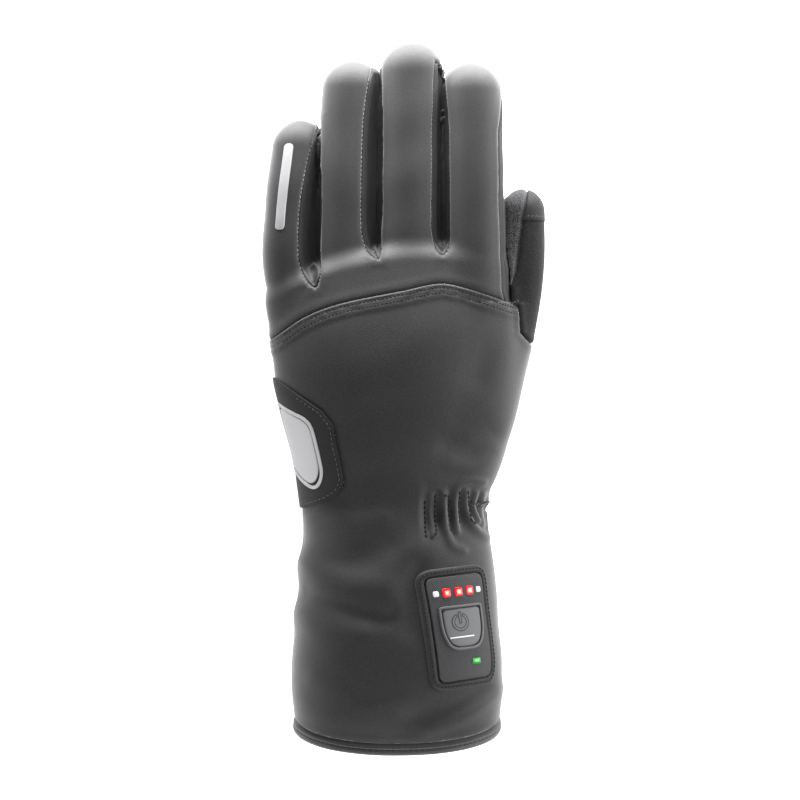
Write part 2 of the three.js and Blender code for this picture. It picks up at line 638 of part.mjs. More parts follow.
// A sheet over the hand from a height above the shell.
const SHEET_END = WRIST + 0.6 * PALM_LENGTH;
function sheet(from, thickness) {
  const outer = hand(from + thickness, handAngles(), 0, SHEET_END);
  return outer.subtract(hand(from, handAngles(), -1, SHEET_END + 1));
}

// A frame on the hand's back at a place, leaning sideways by tilt, towards the fingers by dip, and turned.
function frameOn(along, across, tilt, dip, turn) {
  const half = follow(HAND_SECTIONS, 'width', along) / 2;
  const back = follow(HAND_SECTIONS, 'back', along);
  const widest = lerp(follow(HAND_SECTIONS, 'under', along), back, WIDEST);
  const up = (1 - Math.abs(across) ** HAND_ROUNDNESS) ** (1 / HAND_ROUNDNESS);
  const x = follow(HAND_SECTIONS, 'middle', along) + across * half;
  const place = new THREE.Matrix4().makeTranslation(x, along, widest + up * (back - widest));
  const leaning = new THREE.Matrix4().makeRotationY(rad(tilt));
  const dipping = new THREE.Matrix4().makeRotationX(rad(-dip));
  const turning = new THREE.Matrix4().makeRotationZ(rad(turn));
  return place.multiply(leaning).multiply(dipping).multiply(turning);
}

// The side patch, as shares of the knuckles' width and the palm's length.
const PATCH_OUTLINE = [
  { across: -0.7, along: 0.6 },
  { across: -0.7, along: 0.01 },
  { across: -0.4, along: 0.01 },
  { across: -0.319, along: 0.035 },
  { across: -0.262, along: 0.066 },
  { across: -0.236, along: 0.11 },
  { across: -0.245, along: 0.162 },
  { across: -0.265, along: 0.24 },
  { across: -0.28, along: 0.325 },
  { across: -0.33, along: 0.38 },
  { across: -0.43, along: 0.441 },
  { across: -0.53, along: 0.505 },
];
const patch = sheet(SEAT_GAP, PATCH_THICKNESS).intersect(prism(outline(PATCH_OUTLINE.map(onHand))));
piece('side_patch', patch.subtract(belowPalmSeam(1)), 'patchFabric');

// The emblem on the patch: a plain leaf inside a band, as shares of its width and length.
const EMBLEM_OUTLINE = [
  [-0.5, 0.5],
  [0.17, 0.31],
  [0.28, 0.22],
  [0.44, -0.32],
  [0.38, -0.45],
  [0.25, -0.5],
  [0.06, -0.45],
  [-0.5, -0.22],
];
const emblemFrame = frameOn(WRIST + 0.25 * PALM_LENGTH, -0.9, EMBLEM_TILT, 0, 0);
function emblemPrism(inset) {
  const wide = EMBLEM_WIDTH - 2 * inset;
  const long = EMBLEM_LENGTH - 2 * inset;
  const shape = roundedOutline(EMBLEM_OUTLINE.map(([u, v]) => [u * wide, v * long]), 3);
  return prism(shape, -0.2 * KNUCKLE_WIDTH, 0.2 * KNUCKLE_WIDTH, emblemFrame);
}
const emblemSheet = sheet(PATCH_THICKNESS + 2 * SEAT_GAP, PRINT_THICKNESS).subtract(belowPalmSeam(2));
const emblemBand = emblemSheet.intersect(emblemPrism(0)).subtract(emblemPrism(EMBLEM_BAND));
piece('emblem_band', emblemBand, 'reflectiveFilm');
piece('emblem_leaf', emblemSheet.intersect(emblemPrism(EMBLEM_BAND + EMBLEM_GROOVE)), 'reflectiveFilm');

// The stripe along the little finger
const little = FINGERS[0];
const stripeStart = FINGER_ROOT + 0.34 * little.length;
const stripePlaces = [0, 0.25, 0.5, 0.75, 1].map((share) => stripeStart + share * STRIPE_LENGTH);
const stripeRight = stripePlaces.map(beside(little, -0.16, STRIPE_WIDTH / 2));
const stripeLeft = stripePlaces.map(beside(little, -0.16, -STRIPE_WIDTH / 2));
const stripeShape = roundedOutline([...stripeRight, ...stripeLeft.reverse()], 0.45 * STRIPE_WIDTH);
const overLittle = (height) => fingerTube(little, height, FINGER_COLUMNS);
const stripeSheet = overLittle(SEAT_GAP + PRINT_THICKNESS).subtract(overLittle(SEAT_GAP));
piece('finger_stripe', stripeSheet.intersect(prism(stripeShape, THUMB_ROOT_HEIGHT - 5)), 'reflectiveFilm');

// The patch at the end of the thumb
const overThumb = (height) => thumbTube(height, FINGER_COLUMNS);
const overSheet = overThumb(SEAT_GAP + TIP_PATCH_THICKNESS).subtract(overThumb(SEAT_GAP));
const tipSheet = overSheet.intersect(above(SEAT_GAP));
const tipSpace = beyond(thumbPoint(1).y - TIP_PATCH_LENGTH).subtract(thumbInside(1));
piece('thumb_tip_patch', tipSheet.intersect(tipSpace), 'patchFabric');

// The control unit on the cuff

const panelFrame = frameOn(WRIST - PANEL_BELOW_WRIST, 0.625, PANEL_TILT, PANEL_DIP, PANEL_TURN);
const onPanel = (shape) => prism(shape, -0.3 * CUFF_DEPTH, 0.3 * CUFF_DEPTH, panelFrame);
function panelSpace(grow) {
  return onPanel(rectangle(PANEL_WIDTH + 2 * grow, PANEL_HEIGHT + 2 * grow, PANEL_CORNER + grow));
}
const frameSheet = sheet(SEAT_GAP, SURROUND_THICKNESS).intersect(panelSpace(SURROUND_MARGIN));
piece('control_surround', frameSheet.subtract(panelSpace(SEAM_GAP)), 'trimFabric');
piece('control_panel', sheet(SEAT_GAP, PANEL_THICKNESS).intersect(panelSpace(0)), 'wovenPanel');

// The shield shape of the power button, as shares of its width and height.
const BUTTON_OUTLINE = [[-0.5, 0.5], [-0.5, -0.12], [-0.33, -0.5], [0.33, -0.5], [0.5, -0.12], [0.5, 0.5]];
function buttonSpace(inset) {
  const wide = BUTTON_WIDTH - 2 * inset;
  const high = BUTTON_HEIGHT - 2 * inset;
  return onPanel(roundedOutline(BUTTON_OUTLINE.map(([u, v]) => [u * wide, v * high]), BUTTON_CORNER));
}
const faceSheet = (thickness) => sheet(PANEL_THICKNESS + 2 * SEAT_GAP, thickness);
const rim = faceSheet(RIM_THICKNESS).intersect(buttonSpace(0));
piece('button_rim', rim.subtract(buttonSpace(BUTTON_RIM)), 'buttonRubber');
piece('power_button', faceSheet(CAP_THICKNESS).intersect(buttonSpace(BUTTON_RIM + SEAM_GAP)), 'buttonRubber');

const lampSheet = faceSheet(LAMP_THICKNESS);
const lampRow = 0.344 * PANEL_HEIGHT;
function lamp(name, wide, high, u, v, material) {
  piece(name, lampSheet.intersect(onPanel(rectangle(wide, high, 0.3 * high, u, v))), material);
}
lamp('red_lamp_1', RED_LAMP_WIDTH, RED_LAMP_HEIGHT, -LAMP_PITCH, lampRow, 'redLamp');
lamp('red_lamp_2', RED_LAMP_WIDTH, RED_LAMP_HEIGHT, 0, lampRow, 'redLamp');
lamp('red_lamp_3', RED_LAMP_WIDTH, RED_LAMP_HEIGHT, LAMP_PITCH, lampRow, 'redLamp');
lamp('white_lamp_1', WHITE_LAMP, WHITE_LAMP, -0.376 * PANEL_WIDTH, lampRow, 'whiteLamp');
lamp('white_lamp_2', WHITE_LAMP, WHITE_LAMP, 0.376 * PANEL_WIDTH, lampRow, 'whiteLamp');
const greenPlace = [0.165 * PANEL_WIDTH, -0.335 * PANEL_HEIGHT];
lamp('green_lamp', GREEN_LAMP_LENGTH, GREEN_LAMP_WIDTH, ...greenPlace, 'greenLamp');

// Centred on the table
const box = new THREE.Box3().setFromObject(glove);
const centre = box.getCenter(new THREE.Vector3());
glove.position.set(-centre.x, -centre.y, -box.min.z);

export default glove;
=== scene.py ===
# %% [markdown]
# A heated winter glove, dressed in Blender
#
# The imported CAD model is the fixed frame: a hollow glove sewn from panels, with trims and a control unit.
# This lesson covers it with cloth. Lengths are worked out in millimetres in the pattern's own frame, with
# y = 0 at the hem, and are moved into the frame of the model when a piece is made.

# %% Load the frame
import json
import math

import bpy
import numpy as np
from mathutils import Matrix, Vector

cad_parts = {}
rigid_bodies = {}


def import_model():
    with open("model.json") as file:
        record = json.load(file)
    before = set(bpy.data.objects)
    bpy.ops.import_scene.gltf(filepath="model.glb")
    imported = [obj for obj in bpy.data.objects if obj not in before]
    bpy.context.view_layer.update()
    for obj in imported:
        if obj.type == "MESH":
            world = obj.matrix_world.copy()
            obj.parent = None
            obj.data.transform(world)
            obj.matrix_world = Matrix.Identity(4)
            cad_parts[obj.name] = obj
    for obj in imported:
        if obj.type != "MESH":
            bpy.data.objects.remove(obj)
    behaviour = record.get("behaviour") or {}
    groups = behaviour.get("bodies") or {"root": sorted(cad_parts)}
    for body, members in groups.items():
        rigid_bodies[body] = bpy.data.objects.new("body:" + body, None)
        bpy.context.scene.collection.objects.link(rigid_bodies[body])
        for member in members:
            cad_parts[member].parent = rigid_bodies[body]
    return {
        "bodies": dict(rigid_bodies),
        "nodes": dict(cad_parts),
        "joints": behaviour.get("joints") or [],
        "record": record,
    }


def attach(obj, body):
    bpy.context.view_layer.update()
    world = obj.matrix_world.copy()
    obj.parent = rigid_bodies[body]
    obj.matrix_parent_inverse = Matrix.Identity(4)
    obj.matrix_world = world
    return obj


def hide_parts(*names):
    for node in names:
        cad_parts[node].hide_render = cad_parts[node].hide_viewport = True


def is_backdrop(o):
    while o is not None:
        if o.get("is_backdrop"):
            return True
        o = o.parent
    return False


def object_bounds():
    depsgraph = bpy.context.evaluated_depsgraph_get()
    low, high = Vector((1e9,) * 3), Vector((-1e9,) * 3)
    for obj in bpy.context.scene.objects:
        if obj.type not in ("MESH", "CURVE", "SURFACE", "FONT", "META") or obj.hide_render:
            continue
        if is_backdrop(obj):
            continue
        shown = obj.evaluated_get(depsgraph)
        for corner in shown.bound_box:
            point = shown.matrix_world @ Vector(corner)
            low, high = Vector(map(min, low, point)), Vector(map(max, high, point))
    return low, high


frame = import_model()
cad_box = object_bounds()
print("frame:", len(frame["nodes"]), "pieces")

# %% [markdown]
# The pattern's sizes
#
# These are the same named sizes that the solids were drawn with. Every seam, trim and stitch below is
# placed from them, so the cloth lands on the solids without any fitting.

# %% Sizes in millimetres
SHIFT = np.array([-1.72, -140.13, 0.0])
CUFF_LENGTH, CUFF_WIDTH, CUFF_DEPTH = 89.5, 90.0, 62.0
WRIST_WIDTH, WRIST_DEPTH = 79.0, 50.0
PALM_LENGTH, KNUCKLE_WIDTH, KNUCKLE_DEPTH = 112.0, 101.0, 45.0
MIDDLE_FINGER, FINGER_DEPTH = 107.2, 24.0
ROOT_HEIGHT, TIP_HEIGHT, HAND_TILT = 22.0, 12.5, 0.05
WEB_ARC, WEB_ROUND, HEM_LEAN = 10.0, 6.0, 15.0
WALL = 2.2
WRIST = CUFF_LENGTH
WEBS = WRIST + PALM_LENGTH
FINGER_ROOT = WRIST + 0.845 * PALM_LENGTH

# Rows of the hand from hem to webs: place, width, middle, height of the back and of the underside, as
# shares of the length, width and depth of the cuff (c), the wrist (w) or the palm (p).
HAND_ROWS = [
    ("c", 0.0, 0.97, -0.017, 0.94, -0.02),
    ("c", 0.16, 1.0, -0.02, 1.0, -0.02),
    ("c", 0.42, 0.97, -0.02, 0.98, -0.02),
    ("c", 0.7, 0.93, -0.022, 0.91, -0.02),
    ("w", 0.0, 1.0, -0.036, 1.0, -0.012),
    ("w", 0.12, 1.033, -0.036, 0.99, -0.012),
    ("p", 0.27, 0.865, -0.028, 1.08, -0.01),
    ("p", 0.42, 0.925, -0.036, 1.07, 0.02),
    ("p", 0.58, 0.97, -0.046, 1.04, 0.06),
    ("p", 0.69, 0.99, -0.048, 1.0, 0.1),
    ("p", 0.82, 1.0, -0.058, 0.92, 0.16),
    ("p", 1.0, 1.0, -0.066, 0.81, 0.21),
]
PARTS = {
    "c": (0.0, CUFF_LENGTH, CUFF_WIDTH, CUFF_DEPTH),
    "w": (WRIST, PALM_LENGTH, WRIST_WIDTH, WRIST_DEPTH),
    "p": (WRIST, PALM_LENGTH, KNUCKLE_WIDTH, KNUCKLE_DEPTH),
}


def in_millimetres(row):
    """One row of the table as real lengths."""
    start, length, width, depth = PARTS[row[0]]
    return (start + row[1] * length, row[2] * width, row[3] * width, row[4] * depth, row[5] * depth)


HAND = np.array([in_millimetres(row) for row in HAND_ROWS])

# Fingers: root, tip, length, bow, how late the bow fades, width, depth and the two seams of the back
# panel, as shares of the knuckles' width, the middle finger's length and depth, and the own width.
FINGER_ROWS = [
    (-0.457, -0.43, 0.677, -0.028, 2, 0.224, 0.917, -0.5, 0.2),
    (-0.222, -0.207, 0.925, -0.012, 1, 0.248, 1.0, -0.47, 0.26),
    (0.039, 0.05, 1.0, -0.004, 1, 0.267, 1.02, -0.47, 0.35),
    (0.307, 0.297, 0.914, 0.004, 1, 0.254, 1.0, -0.42, 0.47),
]
NAMES = ("root", "tip", "length", "bow", "fall", "width", "depth", "left", "right")
UNITS = (KNUCKLE_WIDTH, KNUCKLE_WIDTH, MIDDLE_FINGER, KNUCKLE_WIDTH, 1, KNUCKLE_WIDTH, FINGER_DEPTH, 1, 1)
FINGERS = [{n: v * u for n, v, u in zip(NAMES, row, UNITS)} for row in FINGER_ROWS]
FINGER_SINK = 18.0
print("fingers:", [round(f["length"], 1) for f in FINGERS], "mm long")

# %% [markdown]
# Smooth curves through the rows
#
# A pattern maker draws a fair curve through a few measured points. The same is done here once for each
# column of a table, on a fine line, and every later look-up is a plain interpolation.


# %% Fair curves
def fair(xs, ys, step=0.25):
    """Cubic through the rows, each slope being that of the chord between its two neighbours:
    y = y0 (1 - e) + y1 e + h t (1 - t)^2 m0 - h t^2 (1 - t) m1, with e = t^2 (3 - 2 t)."""
    xs, ys = np.asarray(xs, float), np.asarray(ys, float)
    k = np.arange(len(xs))
    low, high = np.maximum(k - 1, 0), np.minimum(k + 1, len(xs) - 1)
    slope = (ys[high] - ys[low]) / (xs[high] - xs[low])
    count = max(int((xs[-1] - xs[0]) / step), 60)
    line = np.linspace(xs[0], xs[-1], count)
    i = np.clip(np.searchsorted(xs, line, "right") - 1, 0, len(xs) - 2)
    h = xs[i + 1] - xs[i]
    t = (line - xs[i]) / h
    e = t * t * (3 - 2 * t)
    bend = t * (1 - t) ** 2 * h * slope[i] - t * t * (1 - t) * h * slope[i + 1]
    return line, ys[i] * (1 - e) + ys[i + 1] * e + bend


def smooth(low, high, value):
    """0 below low, 1 above high, and t^2 (3 - 2 t) between."""
    t = np.clip((value - low) / (high - low), 0, 1)
    return t * t * (3 - 2 * t)


def hump(t, rise=1.0, fall=1.0):
    """t^rise (1 - t)^fall, scaled so that its peak is 1."""
    t = np.clip(t, 0, 1)
    peak = rise / (rise + fall)
    return t**rise * (1 - t) ** fall / (peak**rise * (1 - peak) ** fall)


HAND_CURVES = [fair(HAND[:, 0], HAND[:, k]) for k in (1, 2, 3, 4)]
FALL_LINE, FALL = fair([0, 0.35, 0.68, 1], [0, 0.22, 0.66, 1])


def finger_height(y):
    """Middle of the fingers above the table: it falls from the roots to the longest tip."""
    t = np.clip((y - FINGER_ROOT) / MIDDLE_FINGER, 0, 1)
    return ROOT_HEIGHT - (ROOT_HEIGHT - TIP_HEIGHT) * np.interp(t, FALL_LINE, FALL)


def finger_middle(finger, y):
    """x of a finger's middle line: straight from root to tip, plus its bow."""
    t = (y - FINGER_ROOT) / finger["length"]
    line = finger["root"] + (finger["tip"] - finger["root"]) * np.clip(t, 0, 1)
    return line + finger["bow"] * hump(t, 1.0, finger["fall"])


# %% [markdown]
# The glove as one field
#
# A glove is a soft hull over four fingers, a thumb and the hand, and its cloth bridges the places where
# they meet. Lofted tubes would cross there with hard creases. So the form is a field instead: a number
# for each point of space, near to the distance from the cloth, that is 0 on it and negative inside. Two
# fields join softly with a blend, and a seam is later the line on which a second field is 0.


# %% Fields of the hand, fingers and thumb
def section_distance(dx, dz, a, b, power):
    """Distance from a superellipse |dx/a|^p + |dz/b|^p = 1, to first order: (N - 1) / |grad N|."""
    u, v = np.abs(dx) / a + 1e-4, np.abs(dz) / b + 1e-4
    n = (u**power + v**power) ** (1 / power)
    slope = np.hypot((u / n) ** (power - 1) / a, (v / n) ** (power - 1) / b)
    return (n - 1) / slope


def blend(a, b, width):
    """Smaller of two fields, rounded over where they are within width of each other."""
    h = np.clip(0.5 + 0.5 * (b - a) / width, 0, 1)
    return b + (a - b) * h - width * h * (1 - h)


def along_hand(x, y, z):
    """Place along the hand of the curved section through a point: y plus the arc of the webs and the
    lean of the hem, found by putting the answer in again three times."""
    off = ((x - 0.11 * KNUCKLE_WIDTH) / (KNUCKLE_WIDTH / 2)) ** 2
    lift = z / CUFF_DEPTH - 0.5
    along = y
    for _ in range(3):
        arc = WEB_ARC * smooth(WRIST, WEBS, along)
        lean = HEM_LEAN * (1 - smooth(0, WRIST, along))
        along = y + arc * off + lean * lift
    return along


def hand_field(x, y, z):
    """Superellipse sections from the hem, closed by a rounded end at the webs."""
    along = along_hand(x, y, z)
    width, middle, back, under = [np.interp(along, *curve) for curve in HAND_CURVES]
    widest = under + 0.45 * (back - under)
    up = z - widest
    half_depth = np.where(up > 0, back - widest, widest - under)
    side = section_distance(x - middle, up, width / 2, half_depth, 2.15)
    past = along - WEBS
    round_off = np.hypot(np.maximum(side + WEB_ROUND, 0), np.maximum(past + WEB_ROUND, 0)) - WEB_ROUND
    return np.where(past > -WEB_ROUND, np.maximum(np.maximum(side, past), round_off), side)


def tube_field(x, y, z, mx, mz, half_width, half_depth, start, end, cap, lead):
    """A tube along y round a middle line: superellipse sections that shrink like quarter ellipses over
    the first lead and the last cap millimetres, so that both ends are round."""
    t = np.clip(np.maximum((y - (end - cap)) / cap, (start + lead - y) / lead), 0, 0.9999)
    shrink = np.sqrt(1 - t * t)
    side = section_distance(x - mx, z - mz, half_width * shrink, half_depth * shrink, 2.1)
    beyond = np.maximum(y - end, start - y)
    tip = side * np.sqrt(1 - 0.75 * t * t)
    return np.where(beyond > -0.02, np.hypot(np.maximum(side, 0), np.maximum(beyond, 0)) + 0.02, tip)


FINGER_LEAD = 6.0
SECTION_PLACES = [0, 0.08, 0.2, 0.5, 0.75, 1]
FINGER_WIDTHS = fair(SECTION_PLACES, [0.5, 0.82, 1, 0.99, 1, 0.99])
FINGER_DEPTHS = fair(SECTION_PLACES, [0.45, 0.8, 1, 1, 0.99, 0.95])


def finger_field(finger, x, y, z):
    """Tube of a finger, from inside the palm to its round tip."""
    start = FINGER_ROOT - FINGER_SINK
    end = FINGER_ROOT + finger["length"]
    share = (y - start) / (end - start - finger["width"] / 2)
    mx = finger_middle(finger, y)
    wide = finger["width"] / 2 * np.interp(share, *FINGER_WIDTHS)
    deep = finger["depth"] / 2 * np.interp(share, *FINGER_DEPTHS)
    mz, cap = finger_height(y) + HAND_TILT * mx, finger["width"] * 0.52
    return tube_field(x, y, z, mx, mz, wide, deep, start, end, cap, FINGER_LEAD)


THUMB_START, THUMB_LENGTH = WRIST + 0.036 * PALM_LENGTH, 134.0
THUMB_WIDTH, THUMB_DEPTH = 19.0, 21.5
THUMB_PLACES = [0, 0.2, 0.35, 0.52, 0.7, 0.85, 1]
THUMB_WIDTHS = fair(THUMB_PLACES, [1.05, 1.2, 1.2, 1.13, 1.04, 1, 0.94])
THUMB_DEPTHS = fair(THUMB_PLACES, [1.15, 1.24, 1.22, 1.14, 1.04, 1, 0.94])
THUMB_SINK = fair(THUMB_PLACES, [0, 0.25, 0.5, 0.8, 0.97, 1, 1])


def thumb_middle(y):
    """x and z of the thumb's middle line, which bows outwards and sinks to the table."""
    t = np.clip((y - THUMB_START) / THUMB_LENGTH, 0, 1)
    x = KNUCKLE_WIDTH * (0.243 + (0.517 - 0.243) * t + 0.077 * hump(t, 1.5))
    return x, 20 - 9.8 * np.interp(t, *THUMB_SINK)


def thumb_field(x, y, z):
    """Tube of the thumb. Its line leans against y, so its width is measured across the line."""
    mx, mz = thumb_middle(y)
    ahead, _ = thumb_middle(y + 1)
    cosine = 1 / np.hypot(1, ahead - mx)
    share = (y - THUMB_START) / (THUMB_LENGTH - THUMB_WIDTH / 2)
    wide = THUMB_WIDTH / 2 * np.interp(share, *THUMB_WIDTHS) / cosine
    deep = THUMB_DEPTH / 2 * np.interp(share, *THUMB_DEPTHS)
    end = THUMB_START + THUMB_LENGTH
    return tube_field(x, y, z, mx, mz, wide, deep, THUMB_START, end, THUMB_WIDTH * 0.52, 16.0) * cosine


BALL_START, BALL_LENGTH = WRIST + 0.018 * PALM_LENGTH, 0.7 * PALM_LENGTH
BALL_PAST, BALL_CAP, BALL_LEAD = 8.0, 40.0, 20.0
BALL_WIDTHS = fair([0, 0.5, 1], [0.9, 1, 0.9])
BALL_DEPTHS = fair([0, 0.5, 1], [1, 1.05, 0.8])


def ball_field(x, y, z):
    """Ball of the hand, between the wrist and the thumb."""
    t = (y - BALL_START) / BALL_LENGTH
    mx = KNUCKLE_WIDTH * (0.228 + (0.401 - 0.228) * np.clip(t, 0, 1) + 0.025 * hump(t))
    wide = 0.104 * KNUCKLE_WIDTH * np.interp(t, *BALL_WIDTHS) * 1.02
    deep = 0.3 * KNUCKLE_DEPTH * np.interp(t, *BALL_DEPTHS)
    height = 0.49 * KNUCKLE_DEPTH
    end = BALL_START + BALL_LENGTH + BALL_PAST
    return tube_field(x, y, z, mx, height, wide, deep, BALL_START, end, BALL_CAP, BALL_LEAD)


# %% [markdown]
# Where the fields join
#
# The fingers blend with the palm but never with each other, or the cloth would web them together. The
# table is the last field: what lies below it is cut flat, with a small round edge.

# %% The whole glove
FINGER_BLEND, THUMB_BLEND, BALL_BLEND, TABLE_ROUND = 5.0, 7.0, 12.0, 1.6


def rest_field(x, y, z):
    """The glove without its thumb."""
    palm = blend(hand_field(x, y, z), ball_field(x, y, z), BALL_BLEND)
    whole = palm
    for finger in FINGERS:
        whole = np.minimum(whole, blend(palm, finger_field(finger, x, y, z), FINGER_BLEND))
    return whole


def glove_field(p):
    """The glove at points p, an array of x, y, z rows: near to the distance from the cloth in mm."""
    x, y, z = p[..., 0], p[..., 1], p[..., 2]
    whole = blend(rest_field(x, y, z), thumb_field(x, y, z), THUMB_BLEND)
    return -blend(-whole, z, TABLE_ROUND)


def gradient(field, p, step=0.05):
    """Slope of a field at points p by central differences."""
    columns = []
    for axis in range(3):
        move = np.zeros(3)
        move[axis] = step
        columns.append((field(p + move) - field(p - move)) / (2 * step))
    return np.stack(columns, -1)


def settle(field, p, level=0.0, rounds=3):
    """Newton steps along the slope until the field at p is level."""
    for _ in range(rounds):
        g = gradient(field, p)
        gap = field(p) - level
        p = p - np.clip(gap / np.maximum((g * g).sum(-1), 0.05), -2, 2)[:, None] * g
    return p


# %% [markdown]
# From the field to a mesh
#
# The field is sampled on a grid of cubes. Each cube that the cloth passes through gets one vertex, at the
# mean of the points where its edges cross the cloth, and each grid edge that crosses gets one quad
# between the four cubes round it. This is known as surface nets, and it is all whole-array work.


# %% Surface nets
def surface_net(field, low, high, cell):
    """Vertices and quads of the surface on which a field is 0, inside a box."""
    low, high = np.asarray(low, float), np.asarray(high, float)
    counts = np.ceil((high - low) / cell).astype(int) + 1
    axes = [low[a] + cell * np.arange(counts[a]) for a in range(3)]
    values = np.empty(counts, np.float32)
    for i in range(0, counts[0], 16):
        block = np.stack(np.meshgrid(axes[0][i : i + 16], axes[1], axes[2], indexing="ij"), -1)
        values[i : i + 16] = field(block.astype(np.float32))
    inside = values < 0
    cells = np.zeros(counts - 1, int)
    offsets = np.array([[a, b, c] for a in (0, 1) for b in (0, 1) for c in (0, 1)])
    for a, b, c in offsets:
        cells += inside[a : counts[0] - 1 + a, b : counts[1] - 1 + b, c : counts[2] - 1 + c]
    active = np.argwhere((cells > 0) & (cells < 8))
    total, hits = np.zeros((len(active), 3)), np.zeros(len(active))
    for k, a in enumerate(offsets):
        for b in offsets[k + 1 :]:
            if np.abs(a - b).sum() != 1:
                continue
            va = values[tuple((active + a).T)]
            vb = values[tuple((active + b).T)]
            crossed = (va < 0) != (vb < 0)
            t = np.where(crossed, va / np.where(crossed, va - vb, 1), 0)
            total += (crossed * (a + (b - a) * t[:, None]).T).T
            hits += crossed
    points = low + cell * (active + total / hits[:, None])
    index = -np.ones(counts - 1, int)
    index[tuple(active.T)] = np.arange(len(active))
    quads = []
    for axis in range(3):
        u, v = (axis + 1) % 3, (axis + 2) % 3
        step = np.eye(3, dtype=int)[axis]
        shape = counts - step
        near = inside[tuple(slice(0, n) for n in shape)]
        far = inside[tuple(slice(s, s + n) for s, n in zip(step, shape))]
        edges = np.argwhere(near != far)
        edges = edges[(edges[:, u] > 0) & (edges[:, v] > 0)]
        edges = edges[(edges[:, u] < counts[u] - 1) & (edges[:, v] < counts[v] - 1)]
        du, dv = np.eye(3, dtype=int)[u], np.eye(3, dtype=int)[v]
        ring = [edges - du - dv, edges - dv, edges, edges - du]
        quad = np.stack([index[tuple(r.T)] for r in ring], 1)
        outwards = inside[tuple(edges.T)]
        quads.append(np.where(outwards[:, None], quad, quad[:, ::-1]))
    return points, np.concatenate(quads)


def two_triangles(points, quads):
    """Each quad cut along its shorter diagonal."""
    a, b, c, d = quads.T
    short = np.linalg.norm(points[a] - points[c], axis=1) < np.linalg.norm(points[b] - points[d], axis=1)
    first = np.where(short[:, None], np.stack([a, b, c], 1), np.stack([a, b, d], 1))
    second = np.where(short[:, None], np.stack([a, c, d], 1), np.stack([b, c, d], 1))
    return np.concatenate([first, second])


CELL = 1.05
BOX_LOW, BOX_HIGH = (-64.0, -24.0, -2.5), (68.0, 296.0, 68.0)
points, quads = surface_net(glove_field, BOX_LOW, BOX_HIGH, CELL)
triangles = two_triangles(points, quads)
points = settle(glove_field, points)
print("cloth:", len(points), "vertices", len(triangles), "triangles")


# %% [markdown]
# Making a piece
#
# Every piece is a mesh at the origin, moved into the model's frame and from millimetres to metres. It
# rides on the glove's one body and stands for the solid that it covers.


# %% Pieces
def piece(name, points, faces, material, covers=(), slot=None, smooth_faces=True):
    """A mesh of points in millimetres and faces, given its material and tied to the frame."""
    mesh = bpy.data.meshes.new(name)
    placed = (np.asarray(points, float) + SHIFT) * 0.001
    mesh.from_pydata(placed.tolist(), [], np.asarray(faces).tolist())
    mesh.update()
    mesh.polygons.foreach_set("use_smooth", np.full(len(mesh.polygons), smooth_faces))
    thing = bpy.data.objects.new(name, mesh)
    bpy.context.scene.collection.objects.link(thing)
    mesh.materials.append(material)
    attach(thing, "root")
    if covers:
        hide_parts(*covers)
    return thing


# %% [markdown]
# Seams
#
# A seam is where the cloth meets a second field. The palm's seam is a height above the table that tilts
# with the hand, the knuckle seam is an arch in plan, and each gusset is a leaf between two fingers with
# the fingers' side walls below it. All are written like the glove's own field, so they combine with
# plain minimum and maximum.


# %% Seam fields
SEAM_ROWS = [(0, 0.36 * CUFF_DEPTH), (0.6 * CUFF_LENGTH, 0.36 * CUFF_DEPTH)]
SEAM_ROWS += [(WRIST, 0.4 * WRIST_DEPTH), (FINGER_ROOT, ROOT_HEIGHT - 0.2 * FINGER_DEPTH)]
SEAM_CURVE = fair(*zip(*SEAM_ROWS))


def palm_height(y):
    """Height of the seam between the backs and the palm."""
    return np.where(y < FINGER_ROOT, np.interp(y, *SEAM_CURVE), finger_height(y) - 0.2 * FINGER_DEPTH)


GAP_DROP, GAP_REACH, BALL_DROP = 9.0, 3.2, 9.0


def gap_drop(x, y):
    """How far the palm's seam dips into the gaps between the fingers: a bell across each gap."""
    deep = np.zeros(np.shape(x))
    for left, right in zip(FINGERS, FINGERS[1:]):
        gap = (finger_middle(left, y) + left["width"] / 2 + finger_middle(right, y) - right["width"] / 2) / 2
        deep = np.maximum(deep, np.exp(-(((x - gap) / GAP_REACH) ** 2)))
    return GAP_DROP * deep * smooth(FINGER_ROOT - 16, FINGER_ROOT - 2, y)


def ball_drop(x, y):
    """How far the seam sinks where the back's cloth wraps the ball of the hand."""
    return BALL_DROP * smooth(22, 36, x) * smooth(WRIST, WRIST + 14, y) * (1 - smooth(168, 184, y))


def palm_seam(p):
    """Positive on the backs, negative on the palm's side."""
    x, y, z = p[..., 0], p[..., 1], p[..., 2]
    return z - HAND_TILT * x - palm_height(y) + gap_drop(x, y) + ball_drop(x, y)


KNUCKLE_ROWS = [(-0.7, 0.58), (-0.54, 0.653), (-0.41, 0.728), (-0.26, 0.779), (0.009, 0.829)]
KNUCKLE_ROWS += [(0.153, 0.856), (0.235, 0.848), (0.455, 0.789), (0.8, 0.7)]
KNUCKLE_LINE = [(a * KNUCKLE_WIDTH, WRIST + b * PALM_LENGTH) for a, b in KNUCKLE_ROWS]
KNUCKLE_CURVE = fair(*zip(*KNUCKLE_LINE))


def knuckle_seam(p):
    """Positive towards the fingers."""
    return p[..., 1] - np.interp(p[..., 0], *KNUCKLE_CURVE)


def wrist_seam(p):
    """Positive on the palm, negative under the cuff."""
    return p[..., 1] - WRIST


def gusset_top(y, end):
    """Height of the upper seam of a finger's side wall. It comes down to the palm's seam at its end."""
    rise = (0.24 + 0.2) * FINGER_DEPTH * np.sqrt(np.clip((end - y) / 22, 0, 1))
    return palm_height(y) + rise


GUSSETS = [
    ("gusset_little_ring", 0, 1, -0.362, 0.0),
    ("gusset_ring_middle", 1, 2, -0.093, 0.107),
    ("gusset_middle_index", 2, 3, 0.175, 0.125),
]


